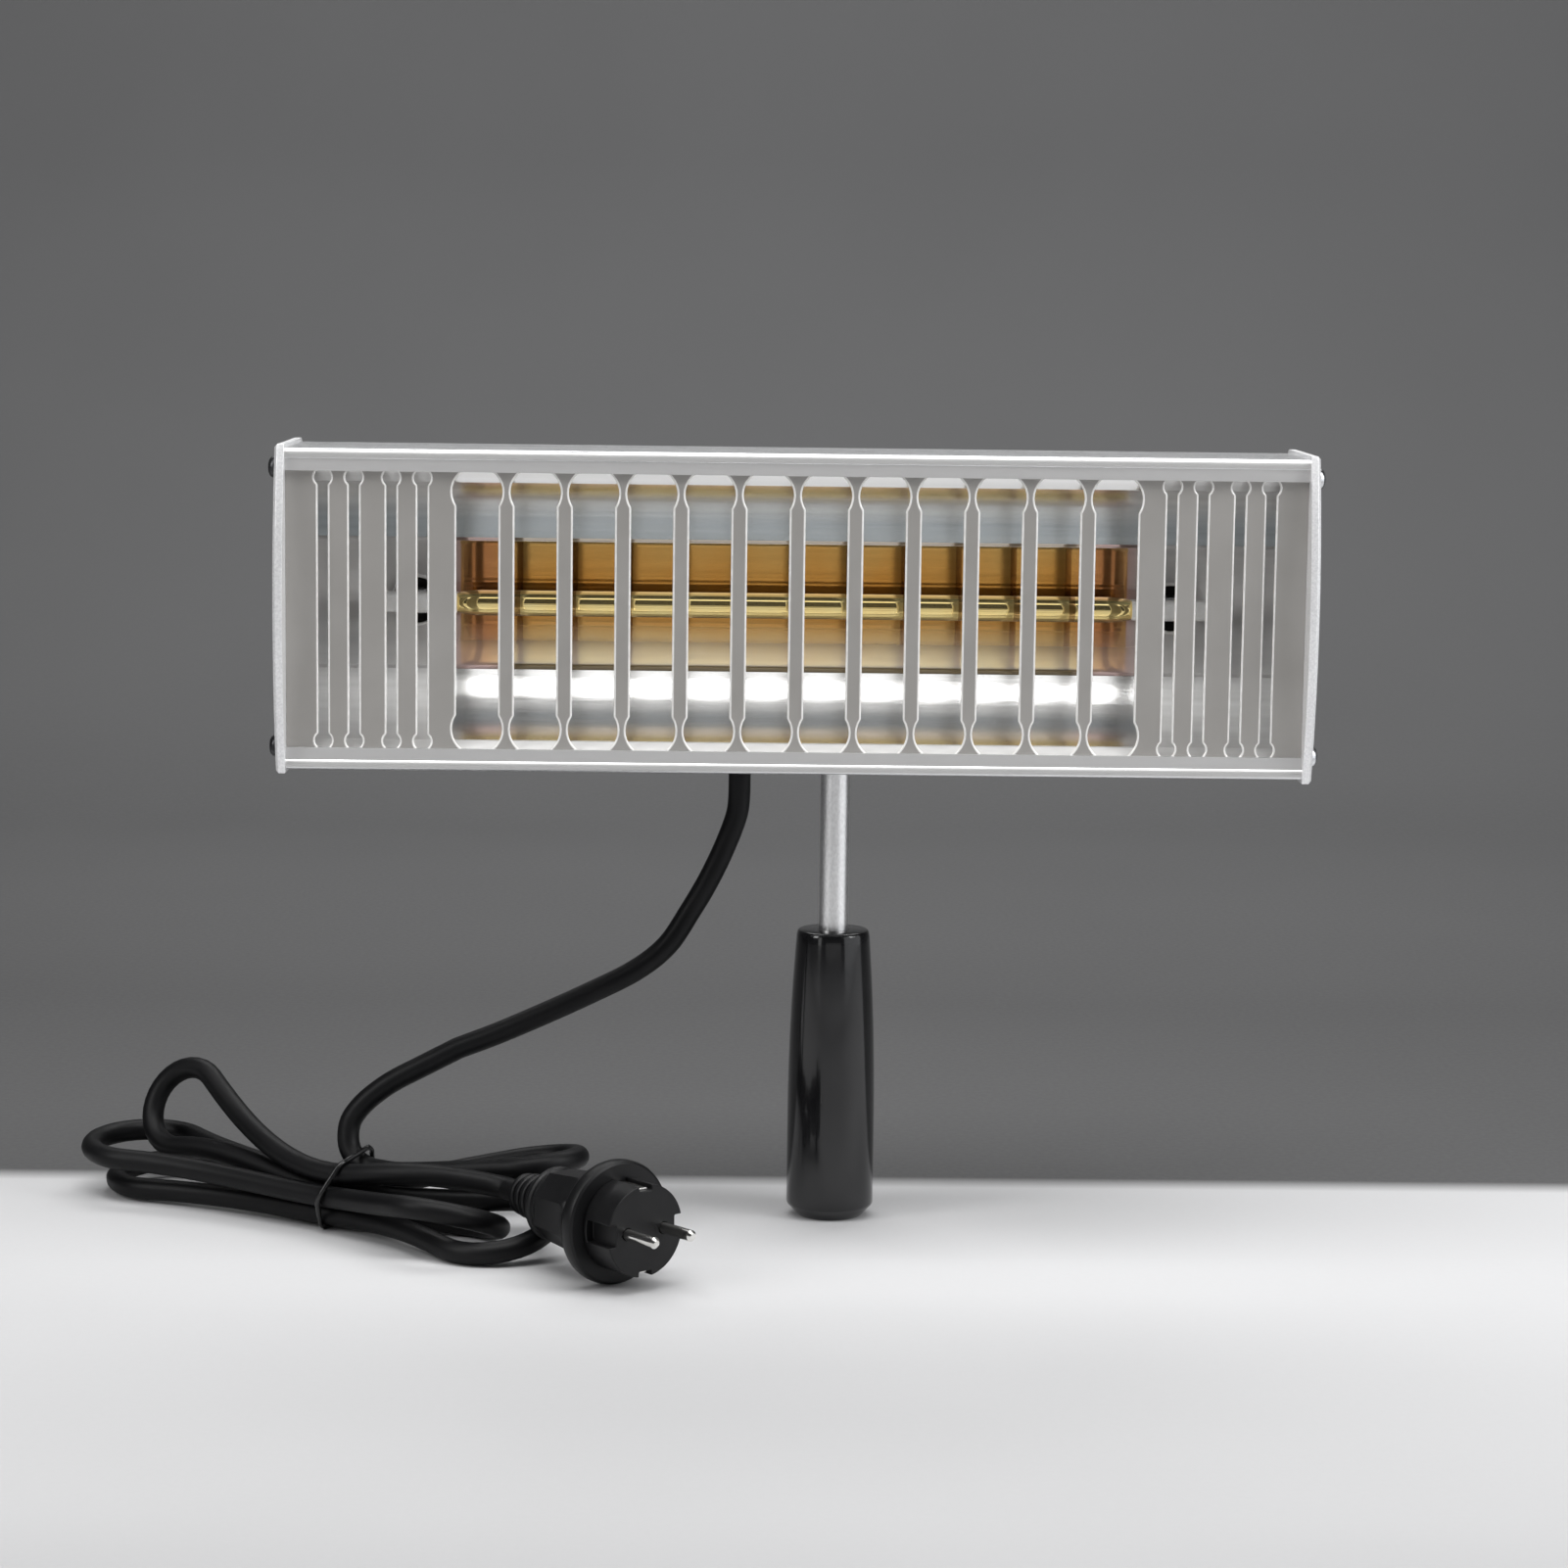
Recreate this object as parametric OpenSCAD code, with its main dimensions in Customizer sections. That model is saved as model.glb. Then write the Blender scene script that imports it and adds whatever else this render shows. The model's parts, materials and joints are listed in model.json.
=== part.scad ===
// Hand-held infrared curing lamp: an extruded reflector head on a tilting rod
// with a moulded grip, and a rubber mains lead tied in a hank.
// Millimetres. The origin is the middle of the grip's flat base, +Z is up,
// and the lamp shines towards -Y.

/* [Head] */
// Length of the head over its end caps
head_len = 430; // [400:1:600]
// Height of the extrusion
head_h = 133; // [131:0.5:150]
// Depth of the extrusion, from lips to back
head_d = 66; // [64:0.5:90]
// Wall thickness of the extrusion
wall = 1.8; // [1.4:0.1:2.4]
// Height of the light opening between the lips
opening_h = 114.5; // [110:0.5:118]
// Thickness of the lips
lip_t = 2.2; // [1.6:0.1:3]
// Radius of the rounded bead along each lip
bead_r = 2.4; // [1.5:0.1:3]
// How far the bead stands in front of the lip
bead_out = 0.8; // [0.2:0.1:1.4]
// Radius of the rear corners
corner_r = 6; // [4:0.5:10]
// Distance from the rod's axis to the right of the head's middle
rod_offset = 19.5; // [0:0.5:60]
// Gap between the rod's axis and the back of the head
back_gap = 21; // [20:0.5:26]

/* [Reflector] */
// Focal length of the concave strip
focal_len = 12; // [11:0.5:14]
// Half height of the strip, from its axis to a seam
seam_half = 26.5; // [24:0.5:28]
// Depth of the strip's deepest line behind the lips
vertex_depth = 56; // [54:0.5:60]
// Sheet thickness of the strip
strip_t = 1; // [0.6:0.1:1.2]
// Thickness of the slanted side panels
panel_t = 1.8; // [1.4:0.1:2.2]
// Diameter of the hole behind each tube base
strip_hole_d = 21; // [18:0.5:24]

/* [Grille] */
// Sheet thickness of the grille
grille_t = 1; // [0.6:0.1:1.2]
// Height of the grille sheet
grille_h = 123; // [121:0.5:124]
// Number of wide slots
wide_count = 12; // [4:2:14]
// Distance between wide slots
wide_pitch = 24; // [23:0.1:26]
// Width of a wide slot's body
wide_w = 18.5; // [10:0.1:19]
// Diameter of a wide slot's round ends
wide_end_d = 21.9; // [19:0.1:22.2]
// Distance between the round ends of a wide slot
wide_end_gap = 98.2; // [80:0.1:99]
// Width of a narrow slot's body
narrow_w = 5.2; // [3:0.1:7]
// Diameter of a narrow slot's round ends
narrow_end_d = 8.2; // [7:0.1:10]
// Distance between the round ends of a narrow slot
narrow_end_gap = 109; // [90:0.5:111]
// Distance between the two narrow slots of a pair
narrow_pitch = 12.8; // [12:0.1:14]
// Distance between the two pairs at one end
pair_gap = 15.4; // [13:0.1:18]
// Distance from the last wide slot to the first narrow one
first_gap = 22.6; // [18:0.1:26]

/* [Lamp tube] */
// Outer diameter of the quartz tube
tube_d = 11; // [9:0.5:12]
// Wall of the quartz tube
tube_wall = 1.2; // [0.8:0.1:1.6]
// Length of the quartz tube between its bases
tube_len = 286; // [240:1:300]
// Depth of the tube's axis behind the lips
tube_depth = 44; // [42:0.5:46]
// Distance between filament supports
support_pitch = 23.5; // [15:0.5:30]
// Number of filament supports
support_count = 11; // [5:2:11]
// Length of each ceramic base
base_len = 32; // [28:1:36]
// Height of each ceramic base
base_h = 8; // [7:0.1:9]
// Depth of each ceramic base, front to back
base_d = 12; // [10:0.5:13]

/* [End caps] */
// Thickness of an end cap
cap_t = 4; // [3:0.5:6]
// How far a cap stands proud of the extrusion all round
cap_proud = 1.5; // [0.5:0.1:3]
// Bulge of a cap's front edge at mid height
cap_bulge = 10; // [4:0.5:14]
// Rounding of a cap's outer edges
cap_round = 1.2; // [0.5:0.1:1.8]
// Distance of the cap screws from the head's mid height
cap_screw_z = 58; // [57:0.5:59]
// Depth of the front cap screws behind the lips
cap_screw_depth = 11.5; // [11:0.5:14]
// Thread diameter of the cap screws
cap_screw_d = 5; // [4:0.5:5]
// Head diameter of the cap screws
cap_screw_head = 9.3; // [8:0.1:10]

/* [Junction cover] */
// Width of the junction cover
cover_w = 54; // [50:1:60]
// Height of the junction cover
cover_h = 68; // [66:1:80]
// Depth of the junction cover
cover_d = 26; // [25:0.5:32]
// Wall of the junction cover
cover_wall = 2; // [1.5:0.1:2.5]
// Distance from the rod's axis to the cover's right side
cover_gap = 22; // [21:0.5:30]
// Height of the cover's underside below the tilt axis
cover_drop = 28; // [27:0.5:29]
// Depth of the lead's axis behind the head
inlet_depth = 12; // [12:0.5:13]
// Distance from the rod's axis to the lead's axis
inlet_x = 42; // [40:0.5:48]

/* [Tilt joint] */
// Height of the tilt axis above the grip's base
axis_h = 274; // [230:1:340]
// Diameter of the tilt bolt
bolt_d = 8; // [6:0.5:8]
// Running clearance of the tilt bolt, on the radius
bolt_clear = 0.05; // [0.02:0.01:0.08]
// Width of the rod eye along the tilt axis
eye_w = 18; // [14:0.5:20]
// Outer diameter of the rod eye
eye_d = 22; // [18:0.5:24]
// Thickness of a friction washer
washer_t = 1; // [0.5:0.1:1.5]
// Thickness of the bracket
bracket_t = 3; // [2:0.5:4]
// Height of the bracket's base plate
plate_h = 60; // [52:1:80]
// Width of the bracket's base plate
plate_w = 42; // [40:0.5:43]
// Diameter of the locking knob
knob_d = 34; // [28:0.5:40]
// Number of lobes on the knob
knob_lobes = 6; // [5:1:8]

/* [Handle] */
// Diameter of the rod
rod_d = 13; // [12:0.1:14]
// Bore of the rod
rod_bore = 10; // [8:0.1:10.5]
// Length of the grip
grip_len = 128; // [100:1:150]
// Largest diameter of the grip
grip_d = 38.4; // [34:0.2:44]
// Diameter of the grip's top
grip_top_d = 31.8; // [28:0.2:34]
// Diameter of the grip's flat base
grip_base_d = 28.5; // [24:0.5:32]
// Height of the chamfer round the base
grip_chamfer = 5; // [3:0.5:8]
// Height of the grip's widest part above the base
grip_belly = 45; // [30:1:60]
// Height of the rod's foot above the base
rod_foot = 16; // [14:0.5:24]

/* [Lead] */
// Diameter of the rubber lead
cord_d = 9.6; // [9:0.1:9.8]
// Diameter of the tie round the hank
tie_d = 1.8; // [1:0.1:2.5]

/* [Plug] */
// Diameter of the plug's flange
flange_d = 52; // [48:0.5:52]
// Diameter of the plug's socket front
front_d = 38.6; // [36:0.1:39]
// Length of the plug's socket front
front_len = 17; // [14:0.5:18]
// Diameter of a pin
pin_d = 4.8; // [4:0.1:5]
// Length of a pin
pin_len = 19; // [18:0.5:20]
// Distance between the pins
pin_pitch = 19; // [18:0.5:20]

/* [Hidden] */

// Shared fits
slide = 0.3;
fit = 0.05;
overlap = 0.01;
arc_fn = 64;
hull_fn = 32;

// Places in the head's own frame: x from its middle, depth from the lips,
// height from the tilt axis
head_front = -back_gap - head_d;
shell_len = head_len - 2 * cap_t;
groove_back = lip_t + grille_t + slide;
grille_half = grille_h / 2 + slide;
channel_half = seam_half + 2.1;
web_t = 1.8;
seam_depth = vertex_depth - seam_half * seam_half / (4 * focal_len);
seam_gap = 0.8;
strip_edge = channel_half - fit;
ledge_t = 1.2;
ledge_in = 1.4;
panel_front = [groove_back, grille_half - 2];
panel_back = [seam_depth - seam_gap, channel_half - 0.7];
panel_dir = (panel_back - panel_front) / norm(panel_back - panel_front);
panel_normal = [-panel_dir.y, panel_dir.x];
panel_outer = panel_front + panel_t * panel_normal;
panel_slope = panel_dir.y / panel_dir.x;
chamber_front = groove_back + 3.4;
chamber_chamfer = 4;
port_bore = cap_screw_d - 0.6;
port_wall = 2.4;
rear_port = [head_d - wall - 4.5, head_h / 2 - wall - 4.5];
front_port = [cap_screw_depth, cap_screw_z];
cap_h = head_h + 2 * cap_proud;
cap_screw_len = 14;
strip_steps = 24;
last_wide = wide_pitch * (wide_count - 1) / 2;
narrow_slots = [last_wide + first_gap, last_wide + first_gap + narrow_pitch,
    last_wide + first_gap + narrow_pitch + pair_gap,
    last_wide + first_gap + 2 * narrow_pitch + pair_gap];

// Tube, bases and clips
hole_x = tube_len / 2 + 18;
clip_w = 10;
clip_t = 1;
clip_grip = 2.5;
clip_screw_d = 4;
lead_x = tube_len / 2 + 25.2;
lead_d = 2.4;
lead_clear = 0.25;
pole_hole_d = 3.4;
lead_z = 10;
support_t = 0.9;
filament_d = 2.6;
stub_d = 4.4;
stub_len = 8;
dome_len = 10;

// Junction cover and what it holds
cover_x = -cover_gap - cover_w / 2;
cover_low = axis_h - cover_drop;
window_w = 34;
window_h = 16;
window_z = axis_h + 20;
block_w = 22;
block_h = 14;
block_d = 15;
block_z = axis_h - 1;
pole_pitch = 11;
terminal_d = 4;
gland_d = 16;
gland_hex = 21;
gland_flange_t = 5;
gland_neck = 5;
nut_len = 13;
boot_len = 28;
cord_clear = 0.15;
gland_low = cover_low - gland_flange_t;
nut_low = gland_low - nut_len;
cord_exit_z = nut_low - boot_len;
inlet_y = inlet_depth - back_gap;
inlet_top = cover_low + 10;
cover_screw_d = 3;
lug_d = 8;
lug_in = 5;
cover_lugs = [for (z = [cover_low + 11, cover_low + cover_h - 7], side = [-1, 1])
    [cover_x + side * (cover_w / 2 - lug_in), z]];
earth_x = 18;
earth_d = 4;
block_low = block_z - block_h / 2;
block_y = -back_gap;
pole_y = -back_gap + 9;
core_d = 2.4;
core_start = inlet_top + 0.3;
boot_ribs = 5;

// Tilt joint
ear_gap = eye_w + 2 * washer_t + 2 * fit;
ear_x = ear_gap / 2;
ear_r = 13;
bolt_head_t = 4.5;
knob_x = ear_x + bracket_t + 1.5;
knob_boss = 5;
knob_t = 12;
bolt_len = knob_x + knob_boss + 8;
eye_neck = axis_h - 22;
spigot_len = 18;
grip_screw_d = 5;
insert_len = 16;
screw_well = 6;
well_d = 12;
base_plug_t = 2;
base_plug_d = 20;
pin_hole_d = 3;
bracket_screw_d = 5;
bracket_holes = [for (x = [-1, 1], z = [-1, 1]) [x * (plate_w / 2 - 5),
    z * (plate_h / 2 - 6)]];

// Tube of a given diameter swept along points, with flat ends
function unit(v) = v / norm(v);
function tangents(p) = [for (i = [0:len(p) - 1])
    unit(p[min(i + 1, len(p) - 1)] - p[max(i - 1, 0)])];
function square_to(v, t) = unit(v - (v * t) * t);
function side_vectors(t, first) = [for (i = 0, n = square_to(first, t[0]);
    i < len(t); i = i + 1, n = i < len(t) ? square_to(n, t[i]) : n) n];
function ring(c, t, n, r, sides) = [for (k = [0:sides - 1])
    let (a = 360 * k / sides) c + r * (cos(a) * n + sin(a) * cross(t, n))];

module swept_tube(path, d, sides, first = [0, 0, 1]) {
    t = tangents(path);
    n = side_vectors(t, first);
    last = len(path) - 1;
    rings = [for (i = [0:last]) ring(path[i], t[i], n[i], d / 2, sides)];
    points = [for (r = rings) each r];
    skin = [for (i = [0:last - 1]) for (k = [0:sides - 1])
        let (a = i * sides + k, b = i * sides + (k + 1) % sides)
        each [[a, a + sides, b], [b, a + sides, b + sides]]];
    start = [for (k = [1:sides - 2]) [0, k, k + 1]];
    end = [for (k = [1:sides - 2])
        [last * sides, last * sides + k + 1, last * sides + k]];
    polyhedron(points, concat(skin, start, end));
}

// A smooth run through chosen points, steps pieces to each span
function smooth_point(a, b, c, d, s) = 0.5 * (2 * b + (c - a) * s
    + (2 * a - 5 * b + 4 * c - d) * s * s + (3 * b - a - 3 * c + d) * s * s * s);
function smooth_run(p, steps) = [for (i = [0:len(p) - 2]) for (k = [0:steps - 1])
    smooth_point(p[max(i - 1, 0)], p[i], p[i + 1], p[min(i + 2, len(p) - 1)],
        k / steps), p[len(p) - 1]];

module head_frame() translate([-rod_offset, head_front, axis_h]) children();

// A profile drawn in depth and height, drawn out along the head
module along_head(length, middle = 0) translate([middle, 0, 0])
    rotate([90, 0, 90]) linear_extrude(length, center = true) children();

// A round bore or pin that runs front to back
module depth_rod(x, z, front, back, d) translate([x, front, z])
    rotate([-90, 0, 0]) cylinder(d = d, h = back - front, $fn = arc_fn);

// A rectangle with true round corners
module round_rect(low, high, r) {
    translate([low.x + r, low.y]) square([high.x - low.x - 2 * r, high.y - low.y]);
    translate([low.x, low.y + r]) square([high.x - low.x, high.y - low.y - 2 * r]);
    for (x = [low.x + r, high.x - r], y = [low.y + r, high.y - r])
        translate([x, y]) circle(r = r, $fn = arc_fn);
}

// A pan head screw that points along -Z, with its seat at the origin
module pan_screw(d, head, length) {
    dome = 0.42 * head;
    difference() {
        rotate_extrude($fn = arc_fn) polygon([[0, 0], [head / 2, 0],
            [head / 2, dome * 0.35], [head * 0.43, dome * 0.72],
            [head * 0.28, dome * 0.94], [0, dome]]);
        for (turn = [0, 90]) rotate([0, 0, turn])
            translate([-head * 0.26, -head * 0.055, dome * 0.45])
            cube([head * 0.52, head * 0.11, dome]);
    }
    translate([0, 0, -length]) cylinder(d = d, h = length, $fn = 32);
}

module outer_outline() {
    bead_x = bead_r - bead_out;
    half = head_h / 2;
    translate([bead_x, -half]) square([head_d - bead_x - corner_r, head_h]);
    translate([0, bead_r - half]) square([head_d / 2, head_h - 2 * bead_r]);
    translate([head_d / 2, corner_r - half])
        square([head_d / 2, head_h - 2 * corner_r]);
    for (side = [-1, 1]) {
        translate([bead_x, side * (half - bead_r)]) circle(r = bead_r, $fn = arc_fn);
        translate([head_d - corner_r, side * (half - corner_r)])
            circle(r = corner_r, $fn = arc_fn);
    }
}

function panel_z(depth) = panel_outer.y + (depth - panel_outer.x) * panel_slope;

module chamber() {
    top = head_h / 2 - wall;
    back = head_d - wall;
    web_top = channel_half + web_t;
    polygon([[chamber_front, panel_z(chamber_front)], [chamber_front, top],
        [back - chamber_chamfer, top], [back, top - chamber_chamfer],
        [back, web_top],
        [panel_outer.x + (web_top - panel_outer.y) / panel_slope, web_top]]);
}

module screw_ports() for (port = [front_port, rear_port]) {
    translate(port) circle(d = port_bore + 2 * port_wall, $fn = arc_fn);
    translate([port.x - port_wall / 2, port.y])
        square([port_wall, head_h / 2 - wall / 2 - port.y]);
}

module light_cavity() {
    ledge = seam_depth + strip_t;
    back = head_d - wall;
    translate([-bead_out - 1, -opening_h / 2])
        square([lip_t + bead_out + 1 + overlap, opening_h]);
    translate([lip_t, -grille_half])
        square([groove_back - lip_t + overlap, 2 * grille_half]);
    polygon([[panel_front.x, -panel_front.y], [panel_back.x, -panel_back.y],
        [panel_back.x, panel_back.y], [panel_front.x, panel_front.y]]);
    translate([panel_back.x - overlap, -channel_half])
        square([ledge - panel_back.x + overlap, 2 * channel_half]);
    translate([ledge - overlap, ledge_in - channel_half])
        square([ledge_t + 2 * overlap, 2 * (channel_half - ledge_in)]);
    translate([ledge + ledge_t, -channel_half])
        square([back - ledge - ledge_t, 2 * channel_half]);
}

module housing_profile() difference() {
    union() {
        difference() {
            outer_outline();
            chamber();
            mirror([0, 1]) chamber();
        }
        screw_ports();
        mirror([0, 1]) screw_ports();
    }
    light_cavity();
    for (port = [front_port, rear_port], side = [-1, 1])
        translate([port.x, side * port.y]) circle(d = port_bore, $fn = arc_fn);
}

module housing() color("#c9cacb") head_frame() difference() {
    along_head(shell_len) housing_profile();
    for (side = [-1, 1])
        depth_rod(side * hole_x, 0, head_d - wall - 1, head_d + 1, clip_screw_d + 2 * fit);
    for (h = bracket_holes)
        depth_rod(rod_offset + h.x, h.y, head_d - 4, head_d + 1,
            bracket_screw_d + 2 * fit);
    translate([cover_x + rod_offset - window_w / 2, head_d - 4,
        window_z - axis_h - window_h / 2]) cube([window_w, 5, window_h]);
    for (h = cover_lugs) depth_rod(h.x + rod_offset, h.y - axis_h, head_d - 4,
        head_d + 1, cover_screw_d + 2 * fit);
    depth_rod(cover_x + rod_offset + earth_x, block_z - axis_h, head_d - 4,
        head_d + 1, earth_d + 2 * fit);
}
function strip_depth(z) = vertex_depth - z * z / (4 * focal_len);

module reflector() color("#d8b878") head_frame() difference() {
    front = [for (i = [0:strip_steps]) let (z = seam_half * (2 * i / strip_steps - 1))
        [strip_depth(z), z]];
    face = concat([[seam_depth, -strip_edge]], front, [[seam_depth, strip_edge]]);
    back = [for (i = [len(face) - 1:-1:0]) face[i] + [strip_t, 0]];
    along_head(shell_len - 2 * fit) polygon(concat(face, back));
    for (side = [-1, 1]) depth_rod(side * hole_x, 0, vertex_depth - 8,
        vertex_depth + strip_t + 1, strip_hole_d);
}

module dumbbell(w, end_d, gap) {
    square([w, gap], center = true);
    for (side = [-1, 1]) translate([0, side * gap / 2])
        circle(d = end_d, $fn = arc_fn);
}

module grille() color("#9d9890") head_frame() translate([0, lip_t + grille_t, 0])
    rotate([90, 0, 0]) linear_extrude(grille_t) difference() {
        square([shell_len - 2 * fit, grille_h], center = true);
        for (i = [0:wide_count - 1]) translate([i * wide_pitch - last_wide, 0])
            dumbbell(wide_w, wide_end_d, wide_end_gap);
        for (x = narrow_slots, side = [-1, 1]) translate([side * x, 0])
            dumbbell(narrow_w, narrow_end_d, narrow_end_gap);
    }

// Outline of an end cap, drawn in depth and height
module cap_outline(inset) {
    half = cap_h / 2 - inset;
    sag = cap_bulge;
    r = (half * half + sag * sag) / (2 * sag);
    intersection() {
        round_rect([inset - cap_proud - sag, -half],
            [head_d + cap_proud - inset, half], 4);
        translate([r + inset - cap_proud - sag, 0]) circle(r = r, $fn = 180);
    }
}

module end_cap(side) color("#e9e9e8") head_frame() difference() {
    hull() {
        along_head(cap_t - cap_round, side * (shell_len / 2 + (cap_t - cap_round) / 2))
            cap_outline(0);
        along_head(cap_t, side * (shell_len / 2 + cap_t / 2)) cap_outline(cap_round);
    }
    for (port = [front_port, rear_port], z = [-1, 1])
        translate([side * shell_len / 2 - 1, port.x, z * port.y])
            rotate([0, 90, 0]) translate([0, 0, side < 0 ? -cap_t - 1 : -1])
            cylinder(d = cap_screw_d + 2 * fit, h = cap_t + 4, $fn = arc_fn);
}

module cap_screws(side) color(side < 0 ? "#2b2b2d" : "#dededf") head_frame()
    for (port = [front_port, rear_port], z = [-1, 1])
        translate([side * head_len / 2, port.x, z * port.y])
        rotate([0, side * 90, 0]) {
            pan_screw(port_bore - 2 * fit, cap_screw_head, cap_screw_len);
        }

// Profiles of the lamp tube, drawn in radius and length from its middle
function dome(r0, r1, x0, x1) = [for (a = [0:15:90])
    [r1 + (r0 - r1) * cos(a), x0 + (x1 - x0) * sin(a)]];
function both_ends(p) = concat([for (i = [len(p) - 1:-1:0]) [p[i].x, -p[i].y]], p);

module lying() head_frame() translate([0, tube_depth, 0]) rotate([0, 90, 0]) children();

module quartz_tube() color("#d9a93c") lying() rotate_extrude($fn = arc_fn)
    difference() {
        half = tube_len / 2;
        polygon(both_ends(concat(dome(tube_d / 2, stub_d / 2, half - dome_len, half),
            [[stub_d / 2, half + stub_len], [0, half + stub_len]])));
        inner = tube_d / 2 - tube_wall;
        polygon(both_ends(dome(inner, 0, half - dome_len, half - 3)));
    }

module filament() color("#55504a") lying() rotate_extrude($fn = 32) {
    half = tube_len / 2;
    polygon(both_ends([[filament_d / 2, half - 15], [0.4, half - 13],
        [0.4, half - 3.2], [0, half - 3.2]]));
}

module filament_supports() color("#3a3530") lying()
    for (i = [0:support_count - 1])
        translate([0, 0, (i - (support_count - 1) / 2) * support_pitch])
        difference() {
            cylinder(d = tube_d - 2 * tube_wall - 2 * fit, h = support_t,
                center = true, $fn = arc_fn);
            cylinder(d = filament_d + 2 * fit, h = 2, center = true, $fn = 32);
        }

module tube_base(side) color("#f3f1ec") head_frame() {
    mid = side * (tube_len / 2 + base_len / 2);
    chamfer = 1;
    h = base_h / 2;
    d = base_d / 2;
    difference() {
        along_head(base_len, mid) polygon([[tube_depth - d, chamfer - h],
            [tube_depth - d + chamfer, -h], [tube_depth + d, -h],
            [tube_depth + d, h], [tube_depth - d + chamfer, h],
            [tube_depth - d, h - chamfer]]);
        translate([side * (tube_len / 2 + stub_len / 2 - 0.4), tube_depth, 0])
            rotate([0, 90, 0]) cylinder(d = stub_d + 2 * fit, h = stub_len + 1,
                center = true, $fn = arc_fn);
        depth_rod(side * lead_x, 0, tube_depth + d - 4, tube_depth + d + 1,
            lead_d + 2 * lead_clear);
    }
}

module tube_clip(side) color("#b9bcc0") head_frame() {
    front = tube_depth + base_d / 2 - clip_grip;
    back = head_d - wall;
    inner = base_h + 2 * fit;
    translate([side * hole_x - clip_w / 2, 0, 0]) difference() {
        translate([0, front, -inner / 2 - clip_t])
            cube([clip_w, back - front, inner + 2 * clip_t]);
        translate([-1, front - 1, -inner / 2])
            cube([clip_w + 2, back - front + 1 - clip_t, inner]);
        translate([clip_w / 2, back - 2, 0]) rotate([-90, 0, 0])
            cylinder(d = clip_screw_d + 2 * fit, h = 3, $fn = arc_fn);
    }
}

module clip_screws() color("#b9bcc0") head_frame() for (side = [-1, 1])
    translate([side * hole_x, head_d, 0]) rotate([-90, 0, 0])
        pan_screw(clip_screw_d, 7.4, 5);

// Heat-proof leads from the bases to the terminal block, in the head's frame
function lead_route(side) = let (deep = tube_depth + base_d / 2,
    run = head_d - 5, pole = cover_x + rod_offset + side * pole_pitch / 2,
    turn = pole + side * 2, top = window_z - axis_h)
    [[side * lead_x, deep - 3, 0], [side * lead_x, deep + 3, 0],
    [side * lead_x, deep + 7, 4], [side * (lead_x - 4), run, lead_z],
    [side * (lead_x - 12), run, lead_z], [side * (lead_x - 40), run, lead_z],
    [(side * lead_x + turn) / 2, run, lead_z], [turn + side * 26, run, lead_z + 2],
    [turn + side * 10, run + 1, top - 3], [turn, run + 8, top + 1],
    [pole, run + 13, top - 4], [pole, run + 14, block_z - axis_h + block_h / 2 + 4],
    [pole, run + 14, block_z - axis_h + block_h / 2]];

module lamp_lead(side) color("#ece7da") head_frame()
    swept_tube(smooth_run(lead_route(side), 3), lead_d, 8, [0, 0.3, 1]);

module terminal_block() color("#efece4") difference() {
    translate([cover_x - block_w / 2, block_y, block_low])
        cube([block_w, block_d, block_h]);
    for (side = [-1, 1]) {
        translate([cover_x + side * pole_pitch / 2, pole_y, block_low + 5])
            cylinder(d = pole_hole_d, h = block_h, $fn = 32);
        translate([cover_x + side * pole_pitch / 2, pole_y, block_low - 1])
            cylinder(d = pole_hole_d, h = 4, $fn = 32);
        for (z = [-1, 1]) translate([cover_x + side * pole_pitch / 2, block_y + block_d - 2,
            block_z + z * block_h / 4]) rotate([-90, 0, 0])
            cylinder(d = terminal_d + 2 * fit, h = 3, $fn = 32);
    }
}

module terminal_screws() color("#c9b06a") for (side = [-1, 1], z = [-1, 1])
    translate([cover_x + side * pole_pitch / 2, block_y + block_d - 2,
        block_z + z * block_h / 4]) rotate([-90, 0, 0]) difference() {
            cylinder(d = terminal_d, h = 1.8, $fn = 32);
            translate([-2.5, -0.4, 1]) cube([5, 0.8, 2]);
        }

module earth_stud() color("#c9b06a") translate([cover_x + earth_x, -back_gap, block_z]) {
    translate([0, -wall, 0]) rotate([-90, 0, 0])
        cylinder(d = earth_d, h = wall + 10, $fn = 32);
    rotate([-90, 0, 0]) cylinder(d = 8, h = 3.2, $fn = 6);
}

module junction_cover() color("#2a2b2d") difference() {
    low = [cover_x - cover_w / 2, cover_low];
    high = [cover_x + cover_w / 2, cover_low + cover_h];
    union() {
        difference() {
            translate([0, cover_d - back_gap, 0]) rotate([90, 0, 0])
                linear_extrude(cover_d) round_rect(low, high, 4);
            translate([0, cover_d - cover_wall - back_gap, 0]) rotate([90, 0, 0])
                linear_extrude(cover_d) round_rect(low + cover_wall * [1, 1],
                    high - cover_wall * [1, 1], 4 - cover_wall);
        }
        for (h = cover_lugs) translate([h.x, -back_gap, h.y]) rotate([-90, 0, 0])
            cylinder(d = lug_d, h = cover_d - cover_wall, $fn = arc_fn);
    }
    for (h = cover_lugs) translate([h.x, -back_gap - 1, h.y]) rotate([-90, 0, 0])
        cylinder(d = cover_screw_d + 2 * fit, h = cover_d + 2, $fn = arc_fn);
    translate([-inlet_x, inlet_y, cover_low - 1])
        cylinder(d = gland_d + 2 * fit, h = cover_wall + 2, $fn = arc_fn);
}

module cover_screws() color("#b9bcc0") for (h = cover_lugs)
    translate([h.x, cover_d - back_gap, h.y]) rotate([-90, 0, 0])
        pan_screw(cover_screw_d, 5.6, cover_d + wall);

module at_inlet(z) translate([-inlet_x, inlet_y, z]) children();

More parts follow.
